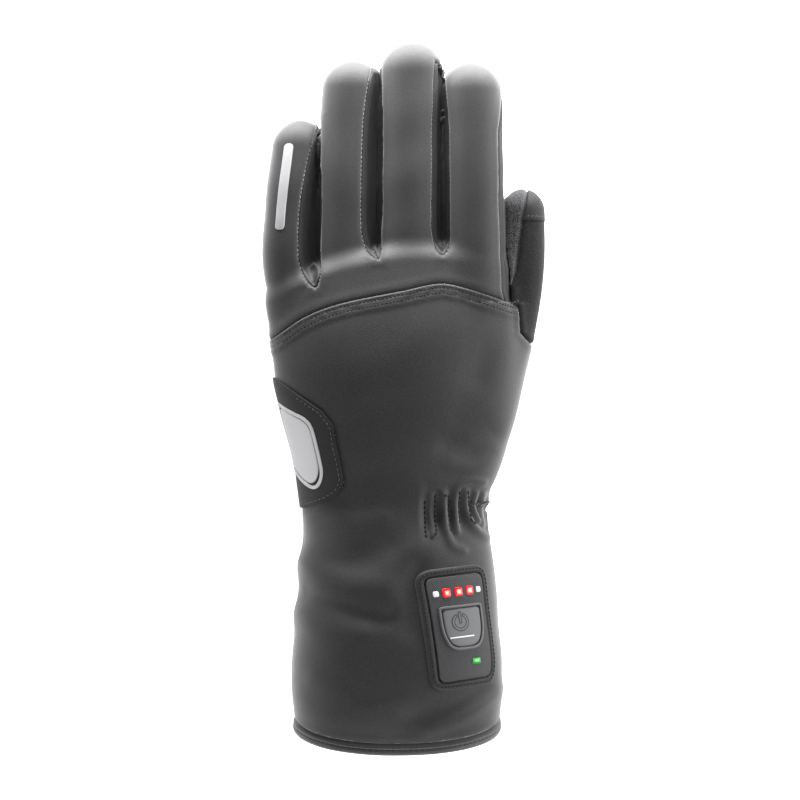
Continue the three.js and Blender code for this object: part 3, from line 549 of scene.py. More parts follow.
WEB_CURVE = 15.0


def opened(past, length):
    """Quarter of an ellipse from 0 at the web to 1 at a length past it: (1 - (1 - t)^2)^(1/2)."""
    return np.sqrt(1 - (1 - np.clip(past / length, 0, 1)) ** 2)


def gusset_edges(row, y):
    """x of a gusset's two sewing lines: they leave the web in a round bend and run along both
    fingers to the shorter one's tip."""
    left, right = FINGERS[row[1]], FINGERS[row[2]]
    web_x, web_y = row[3] * KNUCKLE_WIDTH, FINGER_ROOT + row[4] * PALM_LENGTH
    shorter = min(left, right, key=lambda finger: finger["length"])
    end = FINGER_ROOT + shorter["length"] - 0.04 * shorter["width"]
    close = (1 - np.clip((end - y) / 34, 0, 1)) ** 2
    x_left = finger_middle(left, y) + (left["right"] + (0.38 - left["right"]) * close) * left["width"]
    x_right = finger_middle(right, y) + (right["left"] - (0.5 + right["left"]) * close) * right["width"]
    x_left = web_x + (x_left - web_x) * opened(y - web_y, WEB_CURVE)
    x_right = web_x + (x_right - web_x) * opened(y - web_y, 0.6 * WEB_CURVE)
    return x_left, x_right, web_y, end


def gusset_field(row):
    """Field of a gusset, negative on it."""
    left, right = FINGERS[row[1]], FINGERS[row[2]]

    def field(p):
        x, y = p[..., 0], p[..., 1]
        x_left, x_right, web_y, end = gusset_edges(row, y)
        leaf = np.maximum(np.maximum(x_left - x, x - x_right), np.maximum(web_y - y, y - end))
        inner = np.maximum(
            finger_middle(left, y) + 0.12 * left["width"] - x, x - finger_middle(right, y) + 0.12 * right["width"]
        )
        wall = p[..., 2] - HAND_TILT * x - gusset_top(y, end)
        side = np.maximum(np.maximum(inner, wall), np.maximum(web_y + 2 - y, y - end))
        return np.maximum(np.minimum(leaf, side), -palm_seam(p))

    return field


INDEX = FINGERS[3]
SIDE_START = FINGER_ROOT - 13.0
SIDE_END = FINGER_ROOT + INDEX["length"] - 0.36 * INDEX["width"]


def side_gusset(p):
    """The strip along the index finger's outer side, down to the thumb."""
    x, y = p[..., 0], p[..., 1]
    top = gusset_top(y, SIDE_END) - 10.56 * np.clip(1 - (y - SIDE_START) / 14, 0, 1) ** 2
    wall = p[..., 2] - HAND_TILT * x - top
    ends = np.maximum(SIDE_START - y, y - SIDE_END)
    inner = finger_middle(INDEX, y) + 0.12 * INDEX["width"] - x
    return np.maximum(np.maximum(inner, wall), np.maximum(ends, -palm_seam(p)))


SEAM_TURN = math.radians(50)
SEAM_PLACE = THUMB_START + 0.545 * THUMB_LENGTH
SEAM_X = float(thumb_middle(np.array([SEAM_PLACE]))[0][0]) + 2.8


def thumb_seam(p):
    """Negative on the thumb: past the curved line at its base, and nearer to the thumb than the hand."""
    x, y, z = p[..., 0], p[..., 1], p[..., 2]
    dx, dy = x - SEAM_X, y - SEAM_PLACE
    side = dx * math.cos(SEAM_TURN) - dy * math.sin(SEAM_TURN)
    line = -dx * math.sin(SEAM_TURN) - dy * math.cos(SEAM_TURN) + 0.014 * side * np.clip(side, -20, 20)
    palm = blend(hand_field(x, y, z), ball_field(x, y, z), BALL_BLEND)
    beside = blend(palm, finger_field(FINGERS[3], x, y, z), FINGER_BLEND)
    return np.maximum(line, 0.5 * (thumb_field(x, y, z) - beside))


def middle_seam_x(y):
    """x of the seam along the thumb, which leans from the finger side at its foot to beyond the middle."""
    t = (y - THUMB_START) / THUMB_LENGTH
    share = np.interp(t, [0.6, 0.68, 0.74, 0.82, 0.9, 1], [-0.24, -0.2, -0.15, -0.13, -0.06, 0.12])
    return thumb_middle(y)[0] + share * THUMB_WIDTH


def thumb_middle_seam(p):
    """Negative on the half of the thumb that faces the fingers."""
    return p[..., 0] - middle_seam_x(p[..., 1])


TIP_PATCH_LENGTH = 14.0


def hem_line(p):
    """Positive above the hem."""
    return along_hand(p[..., 0], p[..., 1], p[..., 2]) - 0.3


PATCH_ROWS = [(-0.7, 0.6), (-0.7, 0.01), (-0.4, 0.01), (-0.319, 0.035), (-0.262, 0.066), (-0.236, 0.11)]
PATCH_ROWS += [(-0.245, 0.162), (-0.265, 0.24), (-0.28, 0.325), (-0.33, 0.38)]
PATCH_ROWS += [(-0.43, 0.441), (-0.53, 0.505)]
PATCH_LINE = np.array([(a * KNUCKLE_WIDTH, WRIST + b * PALM_LENGTH) for a, b in PATCH_ROWS])


def polygon_distance(x, y, line):
    """Distance from a closed outline in plan, negative inside: the least distance from its edges, with
    the sign from counting how many edges a level ray crosses."""
    best = np.full(x.shape, 1e9)
    odd = np.zeros(x.shape, bool)
    for (ax, ay), (bx, by) in zip(line, np.roll(line, -1, 0)):
        ex, ey = bx - ax, by - ay
        t = np.clip(((x - ax) * ex + (y - ay) * ey) / (ex * ex + ey * ey), 0, 1)
        best = np.minimum(best, (x - ax - t * ex) ** 2 + (y - ay - t * ey) ** 2)
        crosses = (ay > y) != (by > y)
        odd ^= crosses & (x < ax + (y - ay) / (ey if ey else 1e-9) * ex)
    return np.where(odd, -1, 1) * np.sqrt(best)


def patch_seam(p):
    """Negative on the side patch: inside its outline and a little above the palm's seam."""
    return np.maximum(polygon_distance(p[..., 0], p[..., 1], PATCH_LINE), 1 - palm_seam(p))


def tip_patch_seam(p):
    """Negative on the smooth patch at the end of the thumb."""
    return np.maximum(THUMB_START + THUMB_LENGTH - TIP_PATCH_LENGTH - p[..., 1], 0.5 - thumb_middle_seam(p))


# %% [markdown]
# Scissors
#
# Cutting a mesh along a seam takes one tool: split chosen edges, and re-cut the triangles round them.
# With the middles of all edges near a seam it makes the mesh finer there, and with the points where a
# seam field is 0 it cuts the cloth into panels.


# %% Splitting and cutting
def split_edges(points, triangles, marked, share):
    """Puts a vertex on each marked edge, at its share from the edge's lower vertex, and cuts triangles
    with one, two or three such edges into two, three or four."""
    corners = triangles[:, [0, 1, 1, 2, 2, 0]].reshape(-1, 2)
    edges, inverse = np.unique(np.sort(corners, 1), axis=0, return_inverse=True)
    inverse = inverse.reshape(-1, 3)
    new = -np.ones(len(edges), int)
    new[marked] = len(points) + np.arange(int(marked.sum()))
    a, b = edges[marked].T
    fresh = points[a] + (points[b] - points[a]) * share[marked][:, None]
    on = new[inverse]
    count = (on >= 0).sum(1)
    out = [triangles[count == 0]]
    turn = np.arange(3)
    one = count == 1
    first = np.argmax(on[one] >= 0, 1)
    order = (first[:, None] + turn) % 3
    t = np.take_along_axis(triangles[one], order, 1)
    n = np.take_along_axis(on[one], order, 1)[:, 0]
    out += [np.stack([t[:, 0], n, t[:, 2]], 1), np.stack([n, t[:, 1], t[:, 2]], 1)]
    two = count == 2
    bare = np.argmax(on[two] < 0, 1)
    order = (bare[:, None] + 1 + turn) % 3
    t = np.take_along_axis(triangles[two], order, 1)
    n = np.take_along_axis(on[two], order, 1)
    out += [np.stack([n[:, 0], t[:, 1], n[:, 1]], 1), np.stack([t[:, 0], n[:, 0], n[:, 1]], 1)]
    out += [np.stack([t[:, 0], n[:, 1], t[:, 2]], 1)]
    three = count == 3
    t, n = triangles[three], on[three]
    out += [np.stack([t[:, 0], n[:, 0], n[:, 2]], 1), np.stack([n[:, 0], t[:, 1], n[:, 1]], 1)]
    out += [np.stack([n[:, 1], t[:, 2], n[:, 2]], 1), n]
    return np.concatenate([points, fresh]), np.concatenate(out), len(fresh)


def mesh_edges(triangles):
    """Each edge once, as its two vertices in order."""
    return np.unique(np.sort(triangles[:, [0, 1, 1, 2, 2, 0]].reshape(-1, 2), 1), axis=0)


def surface_slope(seam, p, surface):
    """Slope of a seam field along the cloth: its gradient less the part that points out of the cloth."""
    g = gradient(seam, p)
    n = gradient(surface, p)
    n /= np.linalg.norm(n, axis=1)[:, None] + 1e-9
    return g - (g * n).sum(1)[:, None] * n


def onto_seam(seam, p, surface, rounds=2):
    """Moves points along the cloth onto the line where the seam field is 0."""
    for _ in range(rounds):
        g = surface_slope(seam, p, surface)
        step = seam(p) / np.maximum((g * g).sum(1), 0.08)
        p = settle(surface, p - np.clip(step, -0.6, 0.6)[:, None] * g, rounds=1)
    return p


def cut(points, triangles, seam, surface, chosen=None):
    """Cuts the chosen triangles along a seam. Vertices close to it are drawn onto it first, so that no
    sliver is left."""
    if chosen is None:
        chosen = np.ones(len(triangles), bool)
    if not chosen.any():
        return points, triangles
    value = seam(points)
    used = np.zeros(len(points), bool)
    used[triangles[chosen]] = True
    near = np.flatnonzero(used & (np.abs(value) < 1.2))
    slope = np.linalg.norm(surface_slope(seam, points[near], surface), axis=1)
    close = near[np.abs(value[near]) < 0.16 * CELL * np.clip(slope, 0.3, 1.2)]
    points = points.copy()
    points[close] = onto_seam(seam, points[close], surface)
    value[close] = 0
    edges = mesh_edges(triangles)
    picked = mesh_edges(triangles[chosen])
    size = len(points)
    is_picked = np.isin(edges[:, 0] * size + edges[:, 1], picked[:, 0] * size + picked[:, 1])
    va, vb = value[edges[:, 0]], value[edges[:, 1]]
    crossing = is_picked & (va * vb < 0)
    share = np.where(crossing, va / np.where(crossing, va - vb, 1), 0)
    points, triangles, made = split_edges(points, triangles, crossing, share)
    if made:
        points[-made:] = onto_seam(seam, points[-made:], surface)
    return points, triangles


def middles(points, triangles):
    """Middle point of each triangle."""
    return points[triangles].mean(1)


GUSSET_FIELDS = [gusset_field(row) for row in GUSSETS] + [side_gusset]
ALL_SEAMS = [palm_seam, knuckle_seam, thumb_seam, *GUSSET_FIELDS]


def finer(points, triangles, seams, reach):
    """Halves the edges that lie within reach of a seam."""
    value = np.min([np.abs(seam(points)) for seam in seams], 0)
    edges = mesh_edges(triangles)
    long = np.linalg.norm(points[edges[:, 0]] - points[edges[:, 1]], axis=1) > 0.5 * CELL
    marked = long & (value[edges] < reach).all(1)
    points, triangles, made = split_edges(points, triangles, marked, np.full(len(edges), 0.5))
    points[-made:] = settle(glove_field, points[-made:], rounds=2)
    return points, triangles


def pleat_area(p):
    """Distance in plan from the middle of the wrist pleats, less their reach, 0 where they lie."""
    x, y, z = p[..., 0], p[..., 1], p[..., 2]
    away = np.maximum(np.abs(x - 24) - 20, np.abs(y - 88) - 16)
    return np.maximum(np.maximum(away, 25 - z), 0)


points, triangles = finer(points, triangles, [*ALL_SEAMS, pleat_area], 2.2)
points, triangles = cut(points, triangles, hem_line, glove_field)
triangles = triangles[hem_line(middles(points, triangles)) > 0]
points, triangles = cut(points, triangles, thumb_seam, glove_field)
off_thumb = thumb_seam(middles(points, triangles)) > 0
points, triangles = cut(points, triangles, palm_seam, glove_field, off_thumb)
for field in GUSSET_FIELDS:
    here = (thumb_seam(middles(points, triangles)) > 0) & (palm_seam(middles(points, triangles)) > 0)
    points, triangles = cut(points, triangles, field, glove_field, here)
in_gusset = np.min([field(middles(points, triangles)) for field in GUSSET_FIELDS], 0) < 0
centres = middles(points, triangles)
here = (palm_seam(centres) > 0) & ~in_gusset & (thumb_seam(centres) > 0)
points, triangles = cut(points, triangles, knuckle_seam, glove_field, here)
here = palm_seam(middles(points, triangles)) < 0
points, triangles = cut(points, triangles, wrist_seam, glove_field, here)
here = thumb_seam(middles(points, triangles)) < 0
points, triangles = cut(points, triangles, thumb_middle_seam, glove_field, here)
print("cut cloth:", len(points), "vertices", len(triangles), "triangles")

# %% [markdown]
# Which panel is which
#
# After the cuts no triangle crosses a seam, so the signs of the seam fields at its middle say which panel
# it belongs to.

# %% Panels
centre = middles(points, triangles)
over = palm_seam(centre) > 0
on_thumb = thumb_seam(centre) < 0
label = np.where(over, np.where(knuckle_seam(centre) > 0, "finger_back", "hand_back"), "")
label = np.where(~over, np.where(wrist_seam(centre) > 0, "palm", "cuff_underside"), label).astype("U24")
for (name, *_), field in zip([*GUSSETS, ("gusset_index_side",)], GUSSET_FIELDS):
    label[over & (field(centre) < 0)] = name
inner = thumb_middle_seam(centre) < 0
label[on_thumb & inner] = "thumb_inner_half"
label[on_thumb & ~inner] = "thumb_outer_half"
names, sizes = np.unique(label, return_counts=True)
print("panels:", dict(zip(names.tolist(), sizes.tolist())))


# %% [markdown]
# Folds, waves and seams in the cloth
#
# Cloth is never as smooth as the form under it. Each fold is a line in plan with a width and a height.
# The wrist elastic draws up five sharp pleats, the cuff has a few soft creases, and the whole cloth
# waves a little. At a seam the two edges roll inwards and leave a groove with a slight swelling beside
# it, and across the knuckles one edge is lapped over the other.

# %% Folds and waves
FOLDS = [
    (6.0, 1.01, [(-43, 67), (-27, 60), (-6, 59)]),
    (7.0, -1.49, [(-41, 76), (-22, 71), (-6, 74)]),
    (6.0, 0.81, [(-3, 71), (11, 76)]),
    (4.5, -1.22, [(-40, 55), (-20, 49), (-5, 46)]),
    (5.0, 1.01, [(-43, 45), (-33, 40), (-15, 39)]),
    (5.0, -0.94, [(7, 67), (3, 57), (4, 42)]),
    (5.0, -1.22, [(4, 4), (22, 11), (37, 20)]),
    (4.0, 1.08, [(13, 0), (26, 6), (40, 14)]),
    (5.0, 0.68, [(-36, 20), (-14, 12), (2, 14)]),
    (5.0, -0.81, [(38, 122), (30, 116), (20, 117)]),
    (4.5, 0.81, [(39, 115), (32, 109), (22, 110)]),
    (5.0, 0.68, [(-34, 92), (-20, 86), (-8, 88)]),
    (6.0, -0.68, [(43, 168), (36, 158), (33, 146)]),
]
PLEATS = [
    (1.9, 1.2, [(12.6, 96), (12.4, 89), (13.5, 81)]),
    (1.95, 2.3, [(17.9, 97), (18.5, 89), (19.2, 82), (21.5, 76), (26, 73.5)]),
    (1.95, 2.3, [(35, 101.6), (29.7, 102.7), (24.3, 100), (22.9, 94), (23.2, 89), (23.6, 82)]),
    (1.95, 2.3, [(27.4, 98), (27.7, 91.5), (29.7, 86), (32.8, 81.4), (37, 78)]),
    (1.5, 1.6, [(32.2, 97), (31.6, 91.5), (33.9, 85.5)]),
    (1.6, 1.2, [(35.8, 96), (35.4, 89), (36.2, 84)]),
]
PLEAT_MIDDLE, PLEAT_REACH = 89.0, 9.0
waves = np.random.default_rng(7)
WAVE_TURNS = waves.normal(size=(9, 3))
WAVE_TURNS *= (2 * np.pi / waves.uniform(19, 46, 9) / np.linalg.norm(WAVE_TURNS, axis=1))[:, None]
WAVE_STARTS = waves.uniform(0, 2 * np.pi, 9)


def line_distance(x, y, line):
    """Least distance in plan from an open line of points."""
    best = np.full(x.shape, 1e9)
    for (ax, ay), (bx, by) in zip(line, line[1:]):
        ex, ey = bx - ax, by - ay
        t = np.clip(((x - ax) * ex + (y - ay) * ey) / (ex * ex + ey * ey), 0, 1)
        best = np.minimum(best, (x - ax - t * ex) ** 2 + (y - ay - t * ey) ** 2)
    return np.sqrt(best)


def fair_line(knots, count=24):
    """A fair curve through the knots of a fold."""
    turns = np.arange(len(knots))
    along = np.linspace(0, len(knots) - 1, count)
    xs, ys = zip(*knots)
    return list(zip(np.interp(along, *fair(turns, xs)), np.interp(along, *fair(turns, ys))))


def relief(p):
    """How far the cloth stands out: gentle waves, soft folds on the back, and pleats at the wrist, each
    height times exp(-(distance / width)^2)."""
    x, y = p[:, 0], p[:, 1]
    out = 0.055 * np.sin(p @ WAVE_TURNS.T + WAVE_STARTS).sum(1)
    upper = smooth(-2, 6, palm_seam(p))
    for width, height, knots in FOLDS:
        out += upper * height * np.exp(-((line_distance(x, y, fair_line(knots)) / width) ** 2))
    near = (x > 4) & (np.abs(y - PLEAT_MIDDLE) < 30) & (upper > 0)
    q = p[near]
    pleated = np.zeros(len(q))
    for width, height, knots in PLEATS:
        far = line_distance(q[:, 0], q[:, 1], fair_line(knots))
        pleated = np.maximum(pleated, height * np.exp(-((far / width) ** 2)))
    drawn = smooth(7, 12, q[:, 0]) * np.exp(-(((q[:, 1] - PLEAT_MIDDLE) / PLEAT_REACH) ** 2))
    out[near] += upper[near] * (pleated * (0.25 + 0.95 * drawn) - 2.6 * drawn)
    return out


def outward(field, p):
    """Unit normal of the surface through each point."""
    n = gradient(field, p, 0.2)
    return n / (np.linalg.norm(n, axis=1)[:, None] + 1e-9)


def seam_reach(p, seams):
    """Distance along the cloth from the nearest of several seams."""
    reach = np.full(len(p), 99.0)
    for seam in seams:
        value = np.abs(seam(p))
        near = value < 9
        slope = np.linalg.norm(surface_slope(seam, p[near], glove_field), axis=1)
        reach[near] = np.minimum(reach[near], value[near] / np.clip(slope, 0.35, 1.6))
    return reach


def rolled_edge(reach, depth=0.95, swell=0.16):
    """Groove at a seam and the swelling beside it."""
    return swell * np.exp(-(((reach - 2.3) / 1.4) ** 2)) - depth * np.exp(-((reach / 0.6) ** 2))


def lapped_edge(reach, over):
    """The lapped seam: the upper edge is a lip as wide as its two rows of stitching."""
    if over:
        lip = 0.42 * smooth(0, 0.7, reach) * (1 - smooth(4.8, 7.5, reach))
        rows = 0.25 * (np.exp(-(((reach - 1.6) / 0.5) ** 2)) + np.exp(-(((reach - 3.8) / 0.5) ** 2)))
        return lip - rows - 0.12
    return 0.15 * np.exp(-(((reach - 2.6) / 1.6) ** 2)) - 0.5 * np.exp(-((reach / 0.6) ** 2))


# %% [markdown]
# Fabrics
#
# The back is a brushed stretch shell: nearly black, with a soft bloom where the light grazes it. The palm
# and the thumb are a napped grip fabric with light flecks. Both are one small recipe: a fine noise that
# lightens single threads, a broad noise for uneven dye, and a bump of the fine noise. It reads Object
# coordinates, which are metres, so a thread of half a millimetre has a scale of two thousand.


# %% Fabric recipe
def fabric(name, colour, fleck, thread=1900.0, bump=0.25, roughness=0.62, sheen=0.35, stretch=(1, 1, 1)):
    """Cloth with threads that lighten from colour to fleck, uneven dye and a raised nap."""
    material = bpy.data.materials.new(name)
    material.use_nodes = True
    nodes, links = material.node_tree.nodes, material.node_tree.links
    shader = nodes["Principled BSDF"]
    shader.inputs["Roughness"].default_value = roughness
    shader.inputs["Sheen Weight"].default_value = sheen
    shader.inputs["Sheen Roughness"].default_value = 0.42
    shader.inputs["Specular IOR Level"].default_value = 0.3
    place = nodes.new("ShaderNodeTexCoord")
    mapping = nodes.new("ShaderNodeMapping")
    mapping.inputs["Scale"].default_value = stretch
    links.new(place.outputs["Object"], mapping.inputs["Vector"])
    fine, broad = nodes.new("ShaderNodeTexNoise"), nodes.new("ShaderNodeTexNoise")
    fine.inputs["Scale"].default_value, fine.inputs["Detail"].default_value = thread, 3
    broad.inputs["Scale"].default_value, broad.inputs["Detail"].default_value = 55, 4
    links.new(mapping.outputs["Vector"], fine.inputs["Vector"])
    links.new(place.outputs["Object"], broad.inputs["Vector"])
    ramp = nodes.new("ShaderNodeValToRGB")
    ramp.color_ramp.elements[0].position, ramp.color_ramp.elements[1].position = 0.42, 0.72
    ramp.color_ramp.elements[0].color = (*colour, 1)
    ramp.color_ramp.elements[1].color = (*fleck, 1)
    links.new(fine.outputs["Fac"], ramp.inputs["Fac"])
    dye = nodes.new("ShaderNodeMix")
    dye.data_type, dye.blend_type = "RGBA", "MULTIPLY"
    dye.inputs["Factor"].default_value = 0.35
    links.new(ramp.outputs["Color"], dye.inputs["A"])
    links.new(broad.outputs["Fac"], dye.inputs["B"])
    links.new(dye.outputs["Result"], shader.inputs["Base Color"])
    raised = nodes.new("ShaderNodeBump")
    raised.inputs["Strength"].default_value, raised.inputs["Distance"].default_value = bump, 0.0003
    links.new(fine.outputs["Fac"], raised.inputs["Height"])
    links.new(raised.outputs["Normal"], shader.inputs["Normal"])
    return material


def plastic(name, colour, roughness, coat=0.0, glow=0.0, metallic=0.0, grain=0.0):
    """Moulded or printed surface of one colour, with a fine grain and, for a lamp, a glow."""
    material = bpy.data.materials.new(name)
    material.use_nodes = True
    nodes, links = material.node_tree.nodes, material.node_tree.links
    shader = nodes["Principled BSDF"]
    shader.inputs["Base Color"].default_value = (*colour, 1)
    shader.inputs["Roughness"].default_value = roughness
    shader.inputs["Coat Weight"].default_value = coat
    shader.inputs["Metallic"].default_value = metallic
    if glow:
        shader.inputs["Emission Color"].default_value = (*colour, 1)
        shader.inputs["Emission Strength"].default_value = glow
    if grain:
        place, noise = nodes.new("ShaderNodeTexCoord"), nodes.new("ShaderNodeTexNoise")
        noise.inputs["Scale"].default_value, noise.inputs["Detail"].default_value = 3500, 2
        raised = nodes.new("ShaderNodeBump")
        raised.inputs["Strength"].default_value, raised.inputs["Distance"].default_value = grain, 0.0002
        links.new(place.outputs["Object"], noise.inputs["Vector"])
        links.new(noise.outputs["Fac"], raised.inputs["Height"])
        links.new(raised.outputs["Normal"], shader.inputs["Normal"])
    return material


def twill(name, colour, line, pitch, roughness):
    """Woven face: slanting ribs that lighten from colour to line, by a wave along a diagonal of the
    object's own space, raised by a bump of the same wave."""
    material = bpy.data.materials.new(name)
    material.use_nodes = True
    nodes, links = material.node_tree.nodes, material.node_tree.links
    shader = nodes["Principled BSDF"]
    shader.inputs["Roughness"].default_value = roughness
    shader.inputs["Specular IOR Level"].default_value = 0.3
    place, wave = nodes.new("ShaderNodeTexCoord"), nodes.new("ShaderNodeTexWave")
    mapping = nodes.new("ShaderNodeMapping")
    mapping.inputs["Rotation"].default_value[2] = math.radians(40)
    wave.inputs["Scale"].default_value = 0.314 / pitch
    wave.inputs["Distortion"].default_value = 0.6
    links.new(place.outputs["Object"], mapping.inputs["Vector"])
    links.new(mapping.outputs["Vector"], wave.inputs["Vector"])
    ramp = nodes.new("ShaderNodeValToRGB")
    ramp.color_ramp.elements[0].color, ramp.color_ramp.elements[1].color = (*colour, 1), (*line, 1)
    links.new(wave.outputs["Fac"], ramp.inputs["Fac"])
    links.new(ramp.outputs["Color"], shader.inputs["Base Color"])
    raised = nodes.new("ShaderNodeBump")
    raised.inputs["Strength"].default_value, raised.inputs["Distance"].default_value = 0.4, 0.0002
    links.new(wave.outputs["Fac"], raised.inputs["Height"])
    links.new(raised.outputs["Normal"], shader.inputs["Normal"])
    return material


def lamp_glow(name, rim, core, strength):
    """Lit window: its colour runs from rim to core by the mesh's own value, and it glows."""
    material = bpy.data.materials.new(name)
    material.use_nodes = True
    nodes, links = material.node_tree.nodes, material.node_tree.links
    shader = nodes["Principled BSDF"]
    shader.inputs["Roughness"].default_value = 0.25
    shader.inputs["Emission Strength"].default_value = strength
    value, ramp = nodes.new("ShaderNodeAttribute"), nodes.new("ShaderNodeValToRGB")
    value.attribute_name = "core"
    ramp.color_ramp.elements[0].color, ramp.color_ramp.elements[1].color = (*rim, 1), (*core, 1)
    ramp.color_ramp.elements[0].position, ramp.color_ramp.elements[1].position = 0.3, 1.0
    links.new(value.outputs["Fac"], ramp.inputs["Fac"])
    links.new(ramp.outputs["Color"], shader.inputs["Base Color"])
    links.new(ramp.outputs["Color"], shader.inputs["Emission Color"])
    return material


SOFTSHELL = fabric("softshell", (0.0135, 0.0135, 0.0142), (0.0232, 0.0232, 0.0244), sheen=0.4)
GRIP = fabric(
    "grip_fabric", (0.002, 0.002, 0.0021), (0.022, 0.022, 0.0231),
    thread=2300, bump=0.6, roughness=0.9, sheen=0.08
)
# A lighter copy of the grip fabric for the thumb's inner half: painted light, brighter than the same grip fabric
# on the palm and the thumb's outer half.
GRIP_PAINTED_LIGHT = fabric(
    "grip_fabric_inner_painted_light", (0.02, 0.02, 0.0209), (0.15, 0.15, 0.157),
    thread=2300, bump=0.6, roughness=0.9, sheen=0.12
)
# The gussets' own fabric, made darker than the shell and nearly without sheen: painted shade for the deep gaps
# between the fingers.
GUSSET_SHADED_CLOTH = fabric(
    "gusset_fabric", (0.010, 0.010, 0.0105), (0.02, 0.02, 0.021), thread=2300, sheen=0.06
)
TAPE = fabric(
    "trim_fabric", (0.05, 0.05, 0.052), (0.085, 0.085, 0.088), thread=2600, roughness=0.5, sheen=0.45
)
SURROUND_CLOTH = fabric(
    "surround_fabric", (0.014, 0.014, 0.0148), (0.027, 0.027, 0.028), thread=2300, sheen=0.12
)
PATCH_CLOTH = fabric(
    "patch_fabric", (0.009, 0.009, 0.0094), (0.016, 0.016, 0.0168),
    thread=2800, roughness=0.7, sheen=0.05
)
LINING = fabric(
    "lining_fleece", (0.02, 0.02, 0.021), (0.05, 0.05, 0.053),
    thread=900, bump=0.8, roughness=0.95, sheen=0.4
)
THREAD = fabric(
    "black_thread", (0.004, 0.004, 0.004), (0.012, 0.012, 0.012), thread=5000, roughness=0.8, sheen=0.0
)
LIGHT_THREAD = fabric(
    "grey_thread", (0.07, 0.07, 0.073), (0.13, 0.13, 0.135), thread=5000, roughness=0.6, sheen=0.1
)
FILM = plastic("reflective_film", (0.36, 0.36, 0.37), 0.45, metallic=0.2, grain=0.3)
RUBBER = plastic("button_rubber", (0.085, 0.087, 0.09), 0.55, grain=0.2)
RUBBER_RIM = plastic("button_rim_rubber", (0.06, 0.061, 0.064), 0.45, grain=0.15)
SYMBOL_DARK = plastic("symbol_dark", (0.012, 0.012, 0.013), 0.7, grain=0.15)
MARK = plastic("mark_white", (0.7, 0.7, 0.7), 0.5, grain=0.1)
WOVEN = twill("woven_face", (0.012, 0.012, 0.013), (0.058, 0.058, 0.061), 0.00066, 0.6)
RED_LAMP = lamp_glow("red_lamp", (0.62, 0.0, 0.006), (1.0, 0.5, 0.34), 0.9)
GREEN_LAMP = lamp_glow("green_lamp", (0.01, 0.16, 0.015), (0.12, 0.8, 0.12), 0.8)
WHITE_LAMP = lamp_glow("white_lamp", (0.55, 0.55, 0.55), (0.85, 0.85, 0.85), 0.15)
print("fabrics:", len(bpy.data.materials))

# %% [markdown]
# The panels
#
# Each panel takes its own triangles. Its points are raised or lowered by the relief of the cloth and by
# the seams along its own edge, so both sides of a seam meet at the bottom of the groove. A Solidify
# modifier then gives the cloth its thickness on the inside.

# %% Sew the panels
PANEL_SEAMS = {
    "finger_back": ([palm_seam, *GUSSET_FIELDS], SOFTSHELL, "softshell"),
    "hand_back": ([palm_seam, thumb_seam, hem_line], SOFTSHELL, "softshell"),
    "palm": ([palm_seam, wrist_seam, thumb_seam], GRIP, "grip_fabric"),
    "cuff_underside": ([palm_seam, wrist_seam, hem_line], SOFTSHELL, "softshell"),
    # The gussets wear the darker fabric that carries painted shade between the fingers.
    "gusset_little_ring": ([GUSSET_FIELDS[0]], GUSSET_SHADED_CLOTH, "gusset_fabric"),
    "gusset_ring_middle": ([GUSSET_FIELDS[1]], GUSSET_SHADED_CLOTH, "gusset_fabric"),
    "gusset_middle_index": ([GUSSET_FIELDS[2]], GUSSET_SHADED_CLOTH, "gusset_fabric"),
    "gusset_index_side": ([side_gusset], GUSSET_SHADED_CLOTH, "gusset_fabric"),
    # The thumb's inner half wears the lighter copy of the grip fabric: painted light.
    "thumb_inner_half": ([thumb_seam, thumb_middle_seam], GRIP_PAINTED_LIGHT, "grip_fabric"),
    "thumb_outer_half": ([thumb_seam, thumb_middle_seam], GRIP, "grip_fabric"),
}
CLOTH, GUSSET_SINK = 1.2, 3.0
GAP_SIDES = {row[0]: (FINGERS[row[1]], FINGERS[row[2]]) for row in GUSSETS}


def panel_shape(name, p):
    """Points of one panel after its folds and its seams, kept on or above the table. A gusset sinks
    behind its seams, and its side walls swell by half the gap until they touch their neighbour."""
    seams = PANEL_SEAMS[name][0]
    lift = relief(p) + rolled_edge(seam_reach(p, seams))
    if name in ("finger_back", "hand_back"):
        lift += lapped_edge(seam_reach(p, [knuckle_seam]), name == "hand_back")
    out = outward(glove_field, p)
    moved = p + out * lift[:, None]
    if name.startswith("gusset"):
        reach = seam_reach(p, seams)
        moved[:, 2] -= GUSSET_SINK * smooth(0, 2.6, reach) * smooth(0.1, 0.6, out[:, 2])
    if name in GAP_SIDES:
        gap = np.max([finger_field(finger, *p.T) for finger in GAP_SIDES[name]], 0)
        swell = np.clip(gap / 2 + 0.1, 0, 2.0) * smooth(7, 4, gap) * smooth(1, 3, reach)
        moved += out * (swell * smooth(0.6, 0.2, out[:, 2]))[:, None]
    moved[:, 2] = np.maximum(moved[:, 2], 0.0)
    return moved


def own_part(chosen):
    """The vertices that some triangles use, and the triangles counted over them."""
    used, local = np.unique(chosen, return_inverse=True)
    return used, local.reshape(-1, 3)


for name, (seams, material, slot) in PANEL_SEAMS.items():
    used, local = own_part(triangles[label == name])
    cloth = piece("cloth_" + name, panel_shape(name, points[used]), local, material, [name], slot)
    wall = cloth.modifiers.new("thickness", "SOLIDIFY")
    wall.thickness, wall.offset, wall.use_rim = CLOTH * 0.001, -1, True
    print(cloth.name, len(used), "vertices")

# %% [markdown]
# The lining
#
# Looking into the cuff one sees fleece. It is the same field one wall further in, meshed more coarsely
# and turned so that it faces the hand.


# %% Lining
def lining_field(p):
    """The glove's field moved inwards by its wall."""
    return glove_field(p) + WALL + 0.5


